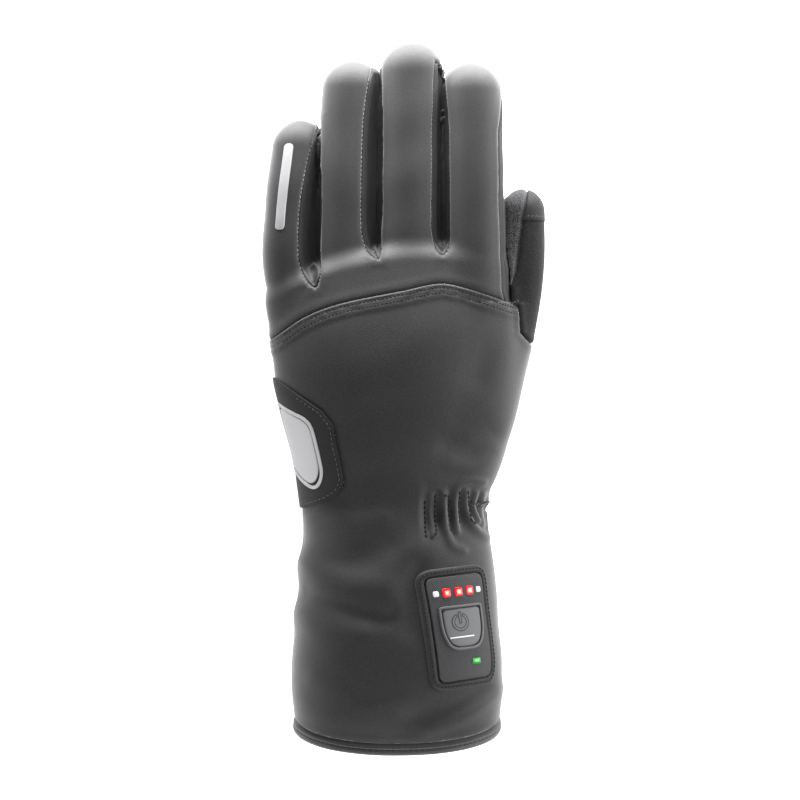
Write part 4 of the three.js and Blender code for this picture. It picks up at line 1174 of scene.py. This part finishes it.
lining_points, lining_quads = surface_net(lining_field, BOX_LOW, BOX_HIGH, 2.4)
lining_faces = two_triangles(lining_points, lining_quads)
lining_points = settle(lining_field, lining_points, rounds=2)
mouth = along_hand(*lining_points[lining_faces].mean(1).T)
lining_faces = lining_faces[(mouth > -2.0) & (mouth < FINGER_ROOT - 12)]
used, local = own_part(lining_faces)
piece("lining", lining_points[used], local[:, ::-1], LINING, slot="softshell")
print("lining:", len(used), "vertices")

# %% [markdown]
# Flat pieces that hug the glove
#
# The emblem, the stripe and the control unit are drawn flat and then laid on the glove. Each drawing has
# a frame, which is a place with two axes along the cloth and one out of it. The outline is carried along
# the outward axis until it meets the cloth, and then follows every fold under it.


# %% Frames and outlines
def frame_on(along, across, tilt, dip, turn):
    """Place and axes of a drawing on the back of the hand: across is the share of the half width, and
    the axes are turned by tilt about y, by -dip about x and by turn about z, in degrees."""
    width, middle, back, under = [float(np.interp(along, *curve)) for curve in HAND_CURVES]
    widest = under + 0.45 * (back - under)
    up = (1 - abs(across) ** 2.15) ** (1 / 2.15)
    place = np.array([middle + across * width / 2, along, widest + up * (back - widest)])
    leaning = Matrix.Rotation(math.radians(tilt), 3, "Y") @ Matrix.Rotation(math.radians(-dip), 3, "X")
    axes = np.array(leaning @ Matrix.Rotation(math.radians(turn), 3, "Z")).T
    return place, axes


def onto_cloth(frame, flat):
    """Points of a flat drawing, moved along the frame's outward axis until they lie on the glove."""
    place, axes = frame
    p = place + flat @ axes[:2]
    for _ in range(7):
        slope = (glove_field(p + 0.1 * axes[2]) - glove_field(p - 0.1 * axes[2])) / 0.2
        p = p - np.clip(glove_field(p) / np.maximum(slope, 0.3), -5, 5)[:, None] * axes[2]
    return p


def rounded(corners, radius, spacing=0.7):
    """Closed outline through corners, each replaced by a quadratic curve that starts and ends within
    its radius, with points evenly spaced and running anticlockwise."""
    corners = np.asarray(corners, float)
    radii = np.broadcast_to(radius, len(corners))
    t = np.linspace(0, 1, 8)[:, None]
    line = []
    befores, afters = np.roll(corners, 1, 0), np.roll(corners, -1, 0)
    for before, corner, after, bend in zip(befores, corners, afters, radii):
        into = corner + (before - corner) * min(bend / np.linalg.norm(before - corner), 0.5)
        away = corner + (after - corner) * min(bend / np.linalg.norm(after - corner), 0.5)
        line.append((1 - t) ** 2 * into + 2 * t * (1 - t) * corner + t * t * away)
    line = np.concatenate([*line, line[0][:1]])
    x, y = line.T
    if (x[:-1] * y[1:] - x[1:] * y[:-1]).sum() < 0:
        line = line[::-1]
    passed = np.concatenate([[0], np.cumsum(np.linalg.norm(np.diff(line, axis=0), axis=1))])
    even = np.linspace(0, passed[-1], int(passed[-1] / spacing) + 8, endpoint=False)
    return np.stack([np.interp(even, passed, line[:, k]) for k in (0, 1)], 1)


def rectangle(width, height, radius, u=0.0, v=0.0, spacing=0.7):
    """Outline of a rounded rectangle round (u, v)."""
    across, along = width / 2, height / 2
    turns = [(-1, -1), (1, -1), (1, 1), (-1, 1)]
    return rounded([(u + a * across, v + b * along) for a, b in turns], radius, spacing)


def inset(outline, distance):
    """Each point of an outline moved inwards, square to the chord between its neighbours."""
    chord = np.roll(outline, -1, 0) - np.roll(outline, 1, 0)
    chord /= np.linalg.norm(chord, axis=1)[:, None]
    return outline + distance * np.stack([-chord[:, 1], chord[:, 0]], 1)


def ring_faces(rows, count, fan=False):
    """Triangles between neighbouring rings of count points, and from the last ring to a middle point."""
    i, j = np.meshgrid(np.arange(rows - 1), np.arange(count), indexing="ij")
    a, b = (i * count + j).ravel(), (i * count + (j + 1) % count).ravel()
    faces = [np.stack([a, b, b + count], 1), np.stack([a, b + count, a + count], 1)]
    if fan:
        last = (rows - 1) * count + np.arange(count)
        faces.append(np.stack([last, np.roll(last, -1), np.full(count, rows * count)], 1))
    return np.concatenate(faces)


def raise_over(base, height):
    """Points of the smooth glove lifted by its relief and by a height, square to the cloth."""
    return base + outward(glove_field, base) * (relief(base) + height)[:, None]


def edge_profile(bottom, top, radius, steps=4):
    """Inset and height of rings up a wall and over a quarter-round edge:
    inset = r (1 - cos a), height = top - r + r sin a."""
    a = np.linspace(0, np.pi / 2, steps)
    return [(0.0, bottom)] + [(radius * (1 - math.cos(k)), top - radius + radius * math.sin(k)) for k in a]


def pad(name, frame, outline, bottom, top, radius, material, covers, slot, dome=0.0):
    """A cushion-edged plate: a wall, a round edge, then rings drawn in towards the middle."""
    rings = [(inset(outline, d), np.full(len(outline), h)) for d, h in edge_profile(bottom, top, radius)]
    middle = outline.mean(0)
    edge = rings[-1][0]
    steps = max(3, int(np.linalg.norm(edge - middle, axis=1).min() / 0.8))
    for share in np.linspace(1, 0, steps + 1)[1:-1]:
        height = np.full(len(outline), top + dome * (1 - share**2))
        rings.append((middle + share * (edge - middle), height))
    flat = np.concatenate([ring for ring, _ in rings] + [middle[None]])
    height = np.concatenate([h for _, h in rings] + [[top + dome]])
    faces = ring_faces(len(rings), len(outline), fan=True)
    return piece(name, raise_over(onto_cloth(frame, flat), height), faces, material, covers, slot)


def band(name, frame, outline, width, bottom, top, radius, material, covers, slot):
    """A raised frame: up the outer wall, over both round edges and down the inner wall."""
    outer = edge_profile(bottom, top, radius)
    inner = [(width - d, h) for d, h in reversed(outer)]
    flat = np.concatenate([inset(outline, d) for d, _ in outer + inner])
    height = np.repeat([h for _, h in outer + inner], len(outline))
    faces = ring_faces(len(outer + inner), len(outline))
    return piece(name, raise_over(onto_cloth(frame, flat), height), faces, material, covers, slot)


# %% [markdown]
# Patches
#
# A patch is a second layer of cloth, so it is cut out of a copy of the glove's own mesh with the same
# scissors, lifted by its thickness and given a wall by Solidify. Its edge is pressed down a little where
# the stitches hold it.


# %% Side patch and thumb tip
PATCH_THICKNESS, TIP_THICKNESS = 1.1, 0.35


def patch_piece(name, seam, thickness, material, node):
    """The part of the glove's mesh where a seam field is negative, lifted by its thickness."""
    near = seam(middles(points, triangles)) < 3
    used, local = own_part(triangles[near])
    p, t = finer(points[used], local, [seam], 1.6)
    p, t = cut(p, t, seam, glove_field)
    used, local = own_part(t[seam(middles(p, t)) < 0])
    p = p[used]
    reach = seam_reach(p, [seam])
    held = np.exp(-(((reach - 1.5) / 0.45) ** 2)) * 0.16 + 0.3 * np.exp(-((reach / 0.5) ** 2))
    lifted = raise_over(p, thickness - held * min(thickness, 1))
    cloth = piece(name, lifted, local, material, [node], "patch_fabric")
    wall = cloth.modifiers.new("thickness", "SOLIDIFY")
    wall.thickness, wall.offset, wall.use_rim = (thickness + 0.25) * 0.001, -1, True
    print(name, len(used), "vertices")


patch_piece("patch_side", patch_seam, PATCH_THICKNESS, PATCH_CLOTH, "side_patch")
patch_piece("patch_thumb_tip", tip_patch_seam, TIP_THICKNESS, PATCH_CLOTH, "thumb_tip_patch")

# %% [markdown]
# Reflectors
#
# The emblem is a leaf inside a band, and the little finger carries one stripe. Both are heat-pressed
# film, only a few tenths of a millimetre thick, so they are thin pads that follow the cloth.

# %% Emblem and stripe
EMBLEM_WIDTH, EMBLEM_LENGTH, EMBLEM_BAND, EMBLEM_GROOVE = 28.0, 38.0, 1.5, 1.1
EMBLEM_CORNERS = [(-0.5, 0.5), (0.17, 0.31), (0.28, 0.22), (0.44, -0.32)]
EMBLEM_CORNERS += [(0.38, -0.45), (0.25, -0.5), (0.06, -0.45), (-0.5, -0.22)]
emblem_frame = frame_on(WRIST + 0.25 * PALM_LENGTH, -0.9, -51, 0, 0)


def emblem_outline(step):
    """The leaf's outline, made smaller on all sides by a step."""
    size = (EMBLEM_WIDTH - 2 * step, EMBLEM_LENGTH - 2 * step)
    return rounded([(u * size[0], v * size[1]) for u, v in EMBLEM_CORNERS], 3.0)


FILM_BASE, FILM_TOP, FILM_ROUND = PATCH_THICKNESS - 0.3, PATCH_THICKNESS + 0.28, 0.12
film = (FILM_BASE, FILM_TOP, FILM_ROUND, FILM)
band_outline = emblem_outline(0)
band("emblem_edge", emblem_frame, band_outline, EMBLEM_BAND, *film, ["emblem_band"], "reflective_film")
leaf_outline = emblem_outline(EMBLEM_BAND + EMBLEM_GROOVE)
pad("emblem_face", emblem_frame, leaf_outline, *film, ["emblem_leaf"], "reflective_film")

LITTLE = FINGERS[0]
STRIPE_WIDTH, STRIPE_LENGTH = 4.0, 37.0
stripe_y = FINGER_ROOT + 0.34 * LITTLE["length"] + STRIPE_LENGTH * np.linspace(0, 1, 5)
stripe_x = finger_middle(LITTLE, stripe_y) - 0.16 * LITTLE["width"]
side = STRIPE_WIDTH / 2
stripe_corners = list(zip(stripe_x + side, stripe_y)) + list(zip(stripe_x - side, stripe_y))[::-1]
stripe_frame = (np.array([0, 0, 24.0]), np.eye(3))
stripe = rounded(stripe_corners, 1.8)
STRIPE_HALF, STRIPE_ROUND = 0.3, 0.15
stripe_film = (-STRIPE_HALF, STRIPE_HALF, STRIPE_ROUND, FILM)
pad("stripe_little_finger", stripe_frame, stripe, *stripe_film, ["finger_stripe"], "reflective_film")

# %% [markdown]
# Hem binding
#
# The hem is bound with a folded tape, stitched once along its middle. In section it is two soft rolls
# with a groove between them, then a rounded end that turns inside. That profile is carried round the
# cuff: each of its points is a place along the hand and a distance out from the cuff's own section.


# %% Binding
def cuff_ring(along, grow, angle):
    """A point of the hand's curved section at an angle, grown outwards: with c and s the cosine and sine
    over (|cos|^p + |sin|^p)^(1/p), x = middle + (width / 2 + g) c, z = widest + (depth + g) s and
    y = along - lean (z / depth of the cuff - 1/2)."""
    width, middle, back, under = [np.interp(along, *curve) for curve in HAND_CURVES]
    widest = under + 0.45 * (back - under)
    c, s = np.cos(angle), np.sin(angle)
    scale = (np.abs(c) ** 2.15 + np.abs(s) ** 2.15) ** (-1 / 2.15)
    x = middle + (width / 2 + grow) * c * scale
    z = widest + (np.where(s > 0, back - widest, widest - under) + grow) * s * scale
    z = np.maximum(z, np.maximum(0, -grow))
    lean = HEM_LEAN * (1 - smooth(0, WRIST, along))
    return np.stack([x, along - lean * (z / CUFF_DEPTH - 0.5), z], -1)


BINDING_PROFILE = [(0.0, -1.7), (-0.7, -0.8), (-0.85, 0.1), (-0.98, 0.42), (-1.2, 0.58), (-1.5, 0.5)]
BINDING_PROFILE += [(-1.75, 0.25), (-1.95, 0.08), (-2.15, 0.25), (-2.45, 0.62), (-3.0, 0.8), (-3.6, 0.72)]
BINDING_PROFILE += [(-4.1, 0.4), (-4.38, -0.1), (-4.4, -0.9), (-4.2, -1.8), (-3.6, -2.3)]
BINDING_PROFILE += [(-2.0, -2.5), (2.0, -2.6)]
binding_angles = np.linspace(0, 2 * np.pi, 260, endpoint=False)
hem_line_points = cuff_ring(np.zeros(260), np.zeros(260), binding_angles)
hem_lift = relief(hem_line_points)
rows, lifts = np.array(BINDING_PROFILE).T
grow = rows[:, None] * 0 + lifts[:, None] + np.where(lifts[:, None] > -1, 1, 0) * hem_lift
binding = cuff_ring(rows[:, None] + 0 * grow, grow, binding_angles[None])
faces = ring_faces(len(rows), 260)[:, ::-1]
piece("binding_hem", binding.reshape(-1, 3), faces, TAPE, ["hem_binding"], "trim_fabric")

# %% [markdown]
# Control unit
#
# The control unit is a woven face in a sewn frame. On the face sit three red lamps between two white
# marks, a moulded button with its rim, and a green lamp. Everything is stacked from the cloth upwards,
# with the same steps as the solids have.

# %% Faces of the control unit
PANEL_WIDTH, PANEL_HEIGHT, PANEL_CORNER, PANEL_THICKNESS, SEAT_GAP = 25.5, 43.0, 3.0, 1.4, 0.3
SURROUND_MARGIN, SURROUND_THICKNESS = 3.8, 1.2
panel_frame = frame_on(WRIST - 47.6, 0.625, 32, 7, 4)
SURROUND_WIDTH, SURROUND_HEIGHT = PANEL_WIDTH + 2 * SURROUND_MARGIN, PANEL_HEIGHT + 2 * SURROUND_MARGIN
surround = rectangle(SURROUND_WIDTH, SURROUND_HEIGHT, PANEL_CORNER + SURROUND_MARGIN)
SURROUND_TOP, FACE_TOP = SEAT_GAP + SURROUND_THICKNESS, SEAT_GAP + PANEL_THICKNESS
seam_width = SURROUND_MARGIN - 0.35
SURROUND_FOOT, SURROUND_ROUND = -0.4, 1.1
frame_cloth = (SURROUND_FOOT, SURROUND_TOP, SURROUND_ROUND, SURROUND_CLOTH)
band("frame_control", panel_frame, surround, seam_width, *frame_cloth, ["control_surround"], "trim_fabric")
face = rectangle(PANEL_WIDTH, PANEL_HEIGHT, PANEL_CORNER)
pad("face_control", panel_frame, face, -0.2, FACE_TOP, 0.4, WOVEN, ["control_panel"], "woven_panel")

BUTTON_WIDTH, BUTTON_HEIGHT, BUTTON_RIM = 19.8, 18.6, 1.1
BUTTON_BENDS = (1.8, 5, 4, 4, 5, 1.8)
BUTTON_CORNERS = [(-0.5, 0.5), (-0.5, -0.12), (-0.33, -0.5), (0.33, -0.5), (0.5, -0.12), (0.5, 0.5)]


def button_outline(step):
    """The button's shield outline, made smaller on all sides by a step."""
    size = (BUTTON_WIDTH - 2 * step, BUTTON_HEIGHT - 2 * step)
    return rounded([(u * size[0], v * size[1]) for u, v in BUTTON_CORNERS], BUTTON_BENDS, 0.5)


BUTTON_BASE, RIM_TOP, CAP_TOP = FACE_TOP - 0.3, FACE_TOP + 1.1, FACE_TOP + 0.9
RIM_ROUND, CAP_ROUND, CAP_DOME, CAP_GAP = 0.42, 0.45, 0.12, 0.35
rim = (BUTTON_RIM, BUTTON_BASE, RIM_TOP, RIM_ROUND, RUBBER_RIM)
band("rim_button", panel_frame, button_outline(0), *rim, ["button_rim"], "button_rubber")
cap = button_outline(BUTTON_RIM + CAP_GAP)
key = (BUTTON_BASE, CAP_TOP, CAP_ROUND, RUBBER)
pad("cap_button", panel_frame, cap, *key, ["power_button"], "button_rubber", dome=CAP_DOME)
print("control unit: face and button")

# %% [markdown]
# Symbol and lamps
#
# The on-off symbol is a ring open at the top with a bar in the gap, moulded into the button: a dark
# outline with a lighter stroke inside. Each lamp is a small domed window. Its mesh carries a value from
# 0 at the rim to 1 in the middle, and the material turns that into a hot core.


# %% Symbol and lamps
def stroke(name, lines, height, material):
    """Flat ribbons on the button, each given as two lines of points side by side."""
    flat, faces, start = [], [], 0
    for left, right in lines:
        count = len(left)
        k = start + np.arange(count - 1)
        flat += [left, right]
        faces += [np.stack([k, k + count, k + count + 1], 1), np.stack([k, k + count + 1, k + 1], 1)]
        start += 2 * count
    flat = np.concatenate(flat)
    base = onto_cloth(panel_frame, flat)
    return piece(name, raise_over(base, height), np.concatenate(faces), material, (), "button_rubber")


SYMBOL = np.array([-0.06 * PANEL_WIDTH, 0.052 * PANEL_HEIGHT])


def symbol_lines(grow):
    """The open ring and the bar, each stroke made wider by grow on both sides."""
    open_angle = math.radians(28) - grow / 3.1
    a = np.linspace(np.pi / 2 + open_angle, 5 * np.pi / 2 - open_angle, 60)
    ring = np.stack([np.cos(a), np.sin(a)], 1)
    bar = np.linspace(-0.2 - grow, 3.9 + grow, 8)
    side = np.full(8, 0.32 + grow)
    return [
        (SYMBOL + ring * (2.75 - grow), SYMBOL + ring * (3.4 + grow)),
        (SYMBOL + np.stack([side, bar], 1), SYMBOL + np.stack([-side, bar], 1)),
    ]


stroke("symbol_outline", symbol_lines(0.38), CAP_TOP + 0.17, SYMBOL_DARK)
stroke("symbol_stroke", symbol_lines(0.0), CAP_TOP + 0.2, RUBBER)
mark_y = SYMBOL[1] - 6.1 + np.array([-0.25, 0.25])
mark_x = SYMBOL[0] + np.linspace(-5.4, 5.4, 24)
mark = [(np.stack([mark_x, np.full(24, mark_y[1])], 1), np.stack([mark_x, np.full(24, mark_y[0])], 1))]
stroke("mark_button", mark, CAP_TOP + 0.17, MARK)


def lamp(name, node, size, place, material):
    """A domed window with a value called core, which rises from its rim to its middle."""
    outline = rectangle(size[0], size[1], 0.3 * size[1], *place, spacing=0.25)
    slot = node.rsplit("_", 1)[0] if node[-1].isdigit() else node
    lens = (FACE_TOP - 0.2, FACE_TOP + 0.45, 0.2, material)
    window = pad(name, panel_frame, outline, *lens, [node], slot, dome=0.18)
    count = len(outline)
    rings = (len(window.data.vertices) - 1) // count
    inner = np.clip(np.arange(rings) - 4, 0, None) / max(rings - 4, 1)
    values = np.append(np.repeat(inner, count), 1.0)
    core = window.data.attributes.new("core", "FLOAT", "POINT")
    core.data.foreach_set("value", values.astype(np.float32))
    return window


LAMP_ROW, LAMP_PITCH = 0.344 * PANEL_HEIGHT, 5.2
for k in range(3):
    lamp(f"lamp_red_{k + 1}", f"red_lamp_{k + 1}", (3.3, 3.7), ((k - 1) * LAMP_PITCH, LAMP_ROW), RED_LAMP)
for k, side in enumerate((-1, 1)):
    place = (side * 0.376 * PANEL_WIDTH, LAMP_ROW)
    lamp(f"lamp_white_{k + 1}", f"white_lamp_{k + 1}", (2.3, 2.3), place, WHITE_LAMP)
lamp("lamp_green", "green_lamp", (4.0, 2.4), (0.165 * PANEL_WIDTH, -0.335 * PANEL_HEIGHT), GREEN_LAMP)
print("control unit: symbol and lamps")

# %% [markdown]
# Stitches
#
# Sewing thread sinks into the cloth at both ends of a stitch and stands proud in its middle. A stitch is
# a small spindle of thirty faces, and a whole row is one mesh. Rows are laid by length along a line on the
# cloth, so the stitches stay even where the glove curves away.


# %% Stitches
def drop(x, y):
    """Highest points of the glove over a line in plan, found by halving: up if inside, down if outside."""
    low, high = np.zeros(len(x)), np.full(len(x), 66.0)
    for _ in range(22):
        middle = (low + high) / 2
        outside = glove_field(np.stack([x, y, middle], 1)) > 0
        high, low = np.where(outside, middle, high), np.where(outside, low, middle)
    return np.stack([x, y, low], 1)


def spaced(line, pitch):
    """Points every pitch millimetres along a line in space."""
    passed = np.concatenate([[0], np.cumsum(np.linalg.norm(np.diff(line, axis=0), axis=1))])
    even = np.arange(pitch / 2, passed[-1], pitch)
    return np.stack([np.interp(even, passed, line[:, k]) for k in range(3)], 1)


TURNS = np.linspace(0, 2 * np.pi, 5, endpoint=False)
RISE = np.array([-1, -0.72, 0, 0.72, 1])


def stitch_row(name, rows, length, thickness, material, turn=0.0, sink=0.1):
    """Spindles along rows of points on the cloth: x = (length / 2) u along the row, and a ring of radius
    r (1 - u^2)^(1/2) round it, turned on the cloth by an angle from the row."""
    centres, alongs = [], []
    for row in rows:
        step = np.gradient(row, axis=0)
        centres.append(row)
        alongs.append(step / np.linalg.norm(step, axis=1)[:, None])
    centre, along = np.concatenate(centres), np.concatenate(alongs)
    up = outward(glove_field, centre)
    along -= (along * up).sum(1)[:, None] * up
    along /= np.linalg.norm(along, axis=1)[:, None]
    across = np.cross(up, along)
    c, s = math.cos(turn), math.sin(turn)
    along, across = along * c + across * s, across * c - along * s
    radius = thickness * np.sqrt(np.maximum(1 - RISE**2, 0.04))
    u = np.repeat(RISE, 5) * length / 2
    v, w = (radius[:, None] * np.cos(TURNS)).ravel(), (radius[:, None] * np.sin(TURNS)).ravel() - sink
    shape = sum(k[None, :, None] * axis[:, None] for k, axis in ((u, along), (v, across), (w, up)))
    p = (centre[:, None] + shape).reshape(-1, 3)
    one = ring_faces(5, 5)
    faces = (one[None] + 25 * np.arange(len(centre))[:, None, None]).reshape(-1, 3)
    piece(name, p, faces, material, (), "trim_fabric")
    print(name, len(centre), "stitches")


seam_x = np.linspace(-50, 52, 260)
for k, below in enumerate((1.6, 3.8)):
    tilt = np.gradient(np.interp(seam_x, *KNUCKLE_CURVE), seam_x)
    line = drop(seam_x, np.interp(seam_x, *KNUCKLE_CURVE) - below * np.sqrt(1 + tilt**2))
    line = line[(palm_seam(line) > 1.5) & (thumb_seam(line) > 1)]
    row = spaced(line, 1.65)
    stitch_row(f"stitches_knuckle_{k + 1}", [panel_shape("hand_back", row)], 1.3, 0.36, THREAD, 0.5, 0.0)

holes = []
for row in GUSSETS:
    for edge, side in ((0, -1), (1, 1)):
        y = np.linspace(FINGER_ROOT - 2, FINGER_ROOT + 100, 240)
        lines = gusset_edges(row, y)
        y = y[(y > lines[2] + 1) & (y < lines[3] - 8)]
        line = drop(gusset_edges(row, y)[edge] + side * 0.4, y)
        holes.append(panel_shape("finger_back", spaced(line, 1.9)))
stitch_row("stitches_gussets", holes, 1.0, 0.3, THREAD, sink=0.0)

patch_middle = np.array([-0.42 * KNUCKLE_WIDTH, WRIST + 0.24 * PALM_LENGTH])
patch_line = rounded(PATCH_LINE[2:], 2.0)
sewn = drop(*inset(patch_line, 1.5).T)
sewn = sewn[(palm_seam(sewn) > 4) & (sewn[:, 0] > -44)]
order = np.argsort(np.arctan2(sewn[:, 1] - patch_middle[1], sewn[:, 0] - patch_middle[0]))
patch_row = raise_over(spaced(sewn[order], 2.2), PATCH_THICKNESS)
stitch_row("stitches_patch", [patch_row], 1.5, 0.2, LIGHT_THREAD, sink=0.12)

loop = inset(surround, 1.6)
loop = onto_cloth(panel_frame, np.concatenate([loop, loop[:1]]))
stitch_row("stitches_control", [raise_over(spaced(loop, 1.75), SURROUND_TOP)], 1.3, 0.36, THREAD, 0.2, 0.0)

hem_angles = np.linspace(0, 2 * np.pi, 400)
hem_row = cuff_ring(np.full(400, -1.95), np.full(400, 0.15), hem_angles)
hem_row = hem_row + outward(glove_field, hem_row) * relief(hem_row)[:, None]
stitch_row("stitches_hem", [spaced(hem_row[hem_row[:, 2] > 1.0], 2.4)], 1.7, 0.22, THREAD, sink=0.0)

VALLEYS = [
    [(10.2, 94.5), (10.4, 79.5)],
    [(14.6, 97), (15.0, 81), (12.2, 78.6)],
    [(17.6, 96.8), (20.6, 95.6), (21.2, 82.2), (22.8, 82.2)],
    [(24.6, 98.4), (25.4, 84)],
    [(28.2, 98.4), (29.6, 86), (31.2, 84.4)],
]
valleys = []
for knots in VALLEYS:
    x, y = np.transpose(knots)
    share = np.linspace(0, 1, 80)
    place = np.append(0, np.cumsum(np.hypot(np.diff(x), np.diff(y))))
    row = drop(np.interp(share * place[-1], place, x), np.interp(share * place[-1], place, y))
    valleys.append(panel_shape("hand_back", spaced(row, 2.0)))
stitch_row("stitches_pleats", valleys, 1.8, 0.58, THREAD, sink=0.0)

tip_y = np.full(60, THUMB_START + THUMB_LENGTH - TIP_PATCH_LENGTH + 1.7)
tip_start = float(middle_seam_x(tip_y[:1])[0]) + 1.5
tip_end = float(thumb_middle(tip_y[:1])[0][0]) + 0.44 * THUMB_WIDTH
tip_row = raise_over(spaced(drop(np.linspace(tip_start, tip_end, 60), tip_y), 1.7), TIP_THICKNESS)
stitch_row("stitches_thumb_tip", [tip_row], 1.0, 0.22, LIGHT_THREAD, 0.5)


# %% [markdown]
# The studio
#
# The photograph looks straight down on a glove that lies on white. A pale floor, a wide soft light from
# the fingertips' side and two long strips beside the glove give the same gentle edges.

# %% Floor, lights and camera
CENTRE_X, CENTRE_Y = -0.0022, -0.0037
CAMERA_HEIGHT, LENS = 1.2, 124.0


def plain_material(name, colour, roughness, glow):
    """A matt surface of one colour that glows a little, like a light table, for the floor."""
    material = bpy.data.materials.new(name)
    material.use_nodes = True
    shader = material.node_tree.nodes["Principled BSDF"]
    shader.inputs["Base Color"].default_value = (*colour, 1)
    shader.inputs["Roughness"].default_value = roughness
    shader.inputs["Emission Color"].default_value = (1, 1, 1, 1)
    shader.inputs["Emission Strength"].default_value = glow
    return material


floor_mesh = bpy.data.meshes.new("floor")
floor_mesh.from_pydata([(-4, -4, 0), (4, -4, 0), (4, 4, 0), (-4, 4, 0)], [], [(0, 1, 2, 3)])
floor = bpy.data.objects.new("floor", floor_mesh)
bpy.context.scene.collection.objects.link(floor)
floor.location.z = -0.0003
floor_mesh.materials.append(plain_material("floor", (0.9, 0.9, 0.9), 0.9, 0.8))
floor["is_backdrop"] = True


def lamp_light(name, place, target, size, watts):
    """A soft rectangular light that faces a point."""
    data = bpy.data.lights.new(name, "AREA")
    data.shape = "RECTANGLE"
    data.size, data.size_y = size
    data.energy = watts
    light = bpy.data.objects.new(name, data)
    bpy.context.scene.collection.objects.link(light)
    light.location = place
    light.rotation_mode = "QUATERNION"
    light.rotation_quaternion = (Vector(target) - Vector(place)).to_track_quat("-Z", "Y")
    return light


lamp_light("light_fingers", (0.0, 0.26, 0.04), (0, 0.13, 0.02), (0.4, 0.05), 3.6)
lamp_light("light_left", (-0.85, -0.2, 0.25), (0, -0.1, 0.03), (0.35, 0.5), 2.2)
lamp_light("light_right", (0.85, 0.05, 0.3), (0, 0, 0.03), (0.35, 1.3), 12)
lamp_light("light_cuff", (0.0, -0.55, 0.3), (0, -0.13, 0.04), (0.6, 0.2), 2.8)
lamp_light("light_top", (0.0, -0.1, 1.6), (0, 0, 0), (1.0, 1.0), 4)

world = bpy.data.worlds.new("studio")
world.use_nodes = True
world.node_tree.nodes["Background"].inputs["Color"].default_value = (1, 1, 1, 1)
world.node_tree.nodes["Background"].inputs["Strength"].default_value = 0.15
bpy.context.scene.world = world

camera_data = bpy.data.cameras.new("camera")
camera_data.sensor_width = 36
camera_data.lens = LENS
camera = bpy.data.objects.new("camera", camera_data)
bpy.context.scene.collection.objects.link(camera)
camera.location = (CENTRE_X, CENTRE_Y, CAMERA_HEIGHT)
bpy.context.scene.camera = camera
bpy.context.scene.view_settings.view_transform = "Standard"

# %% Sizes and finish
bpy.context.view_layer.update()
dressed_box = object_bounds()
sizes = {"cad": [list(v) for v in cad_box], "dressed": [list(v) for v in dressed_box]}
print("box:", sizes)
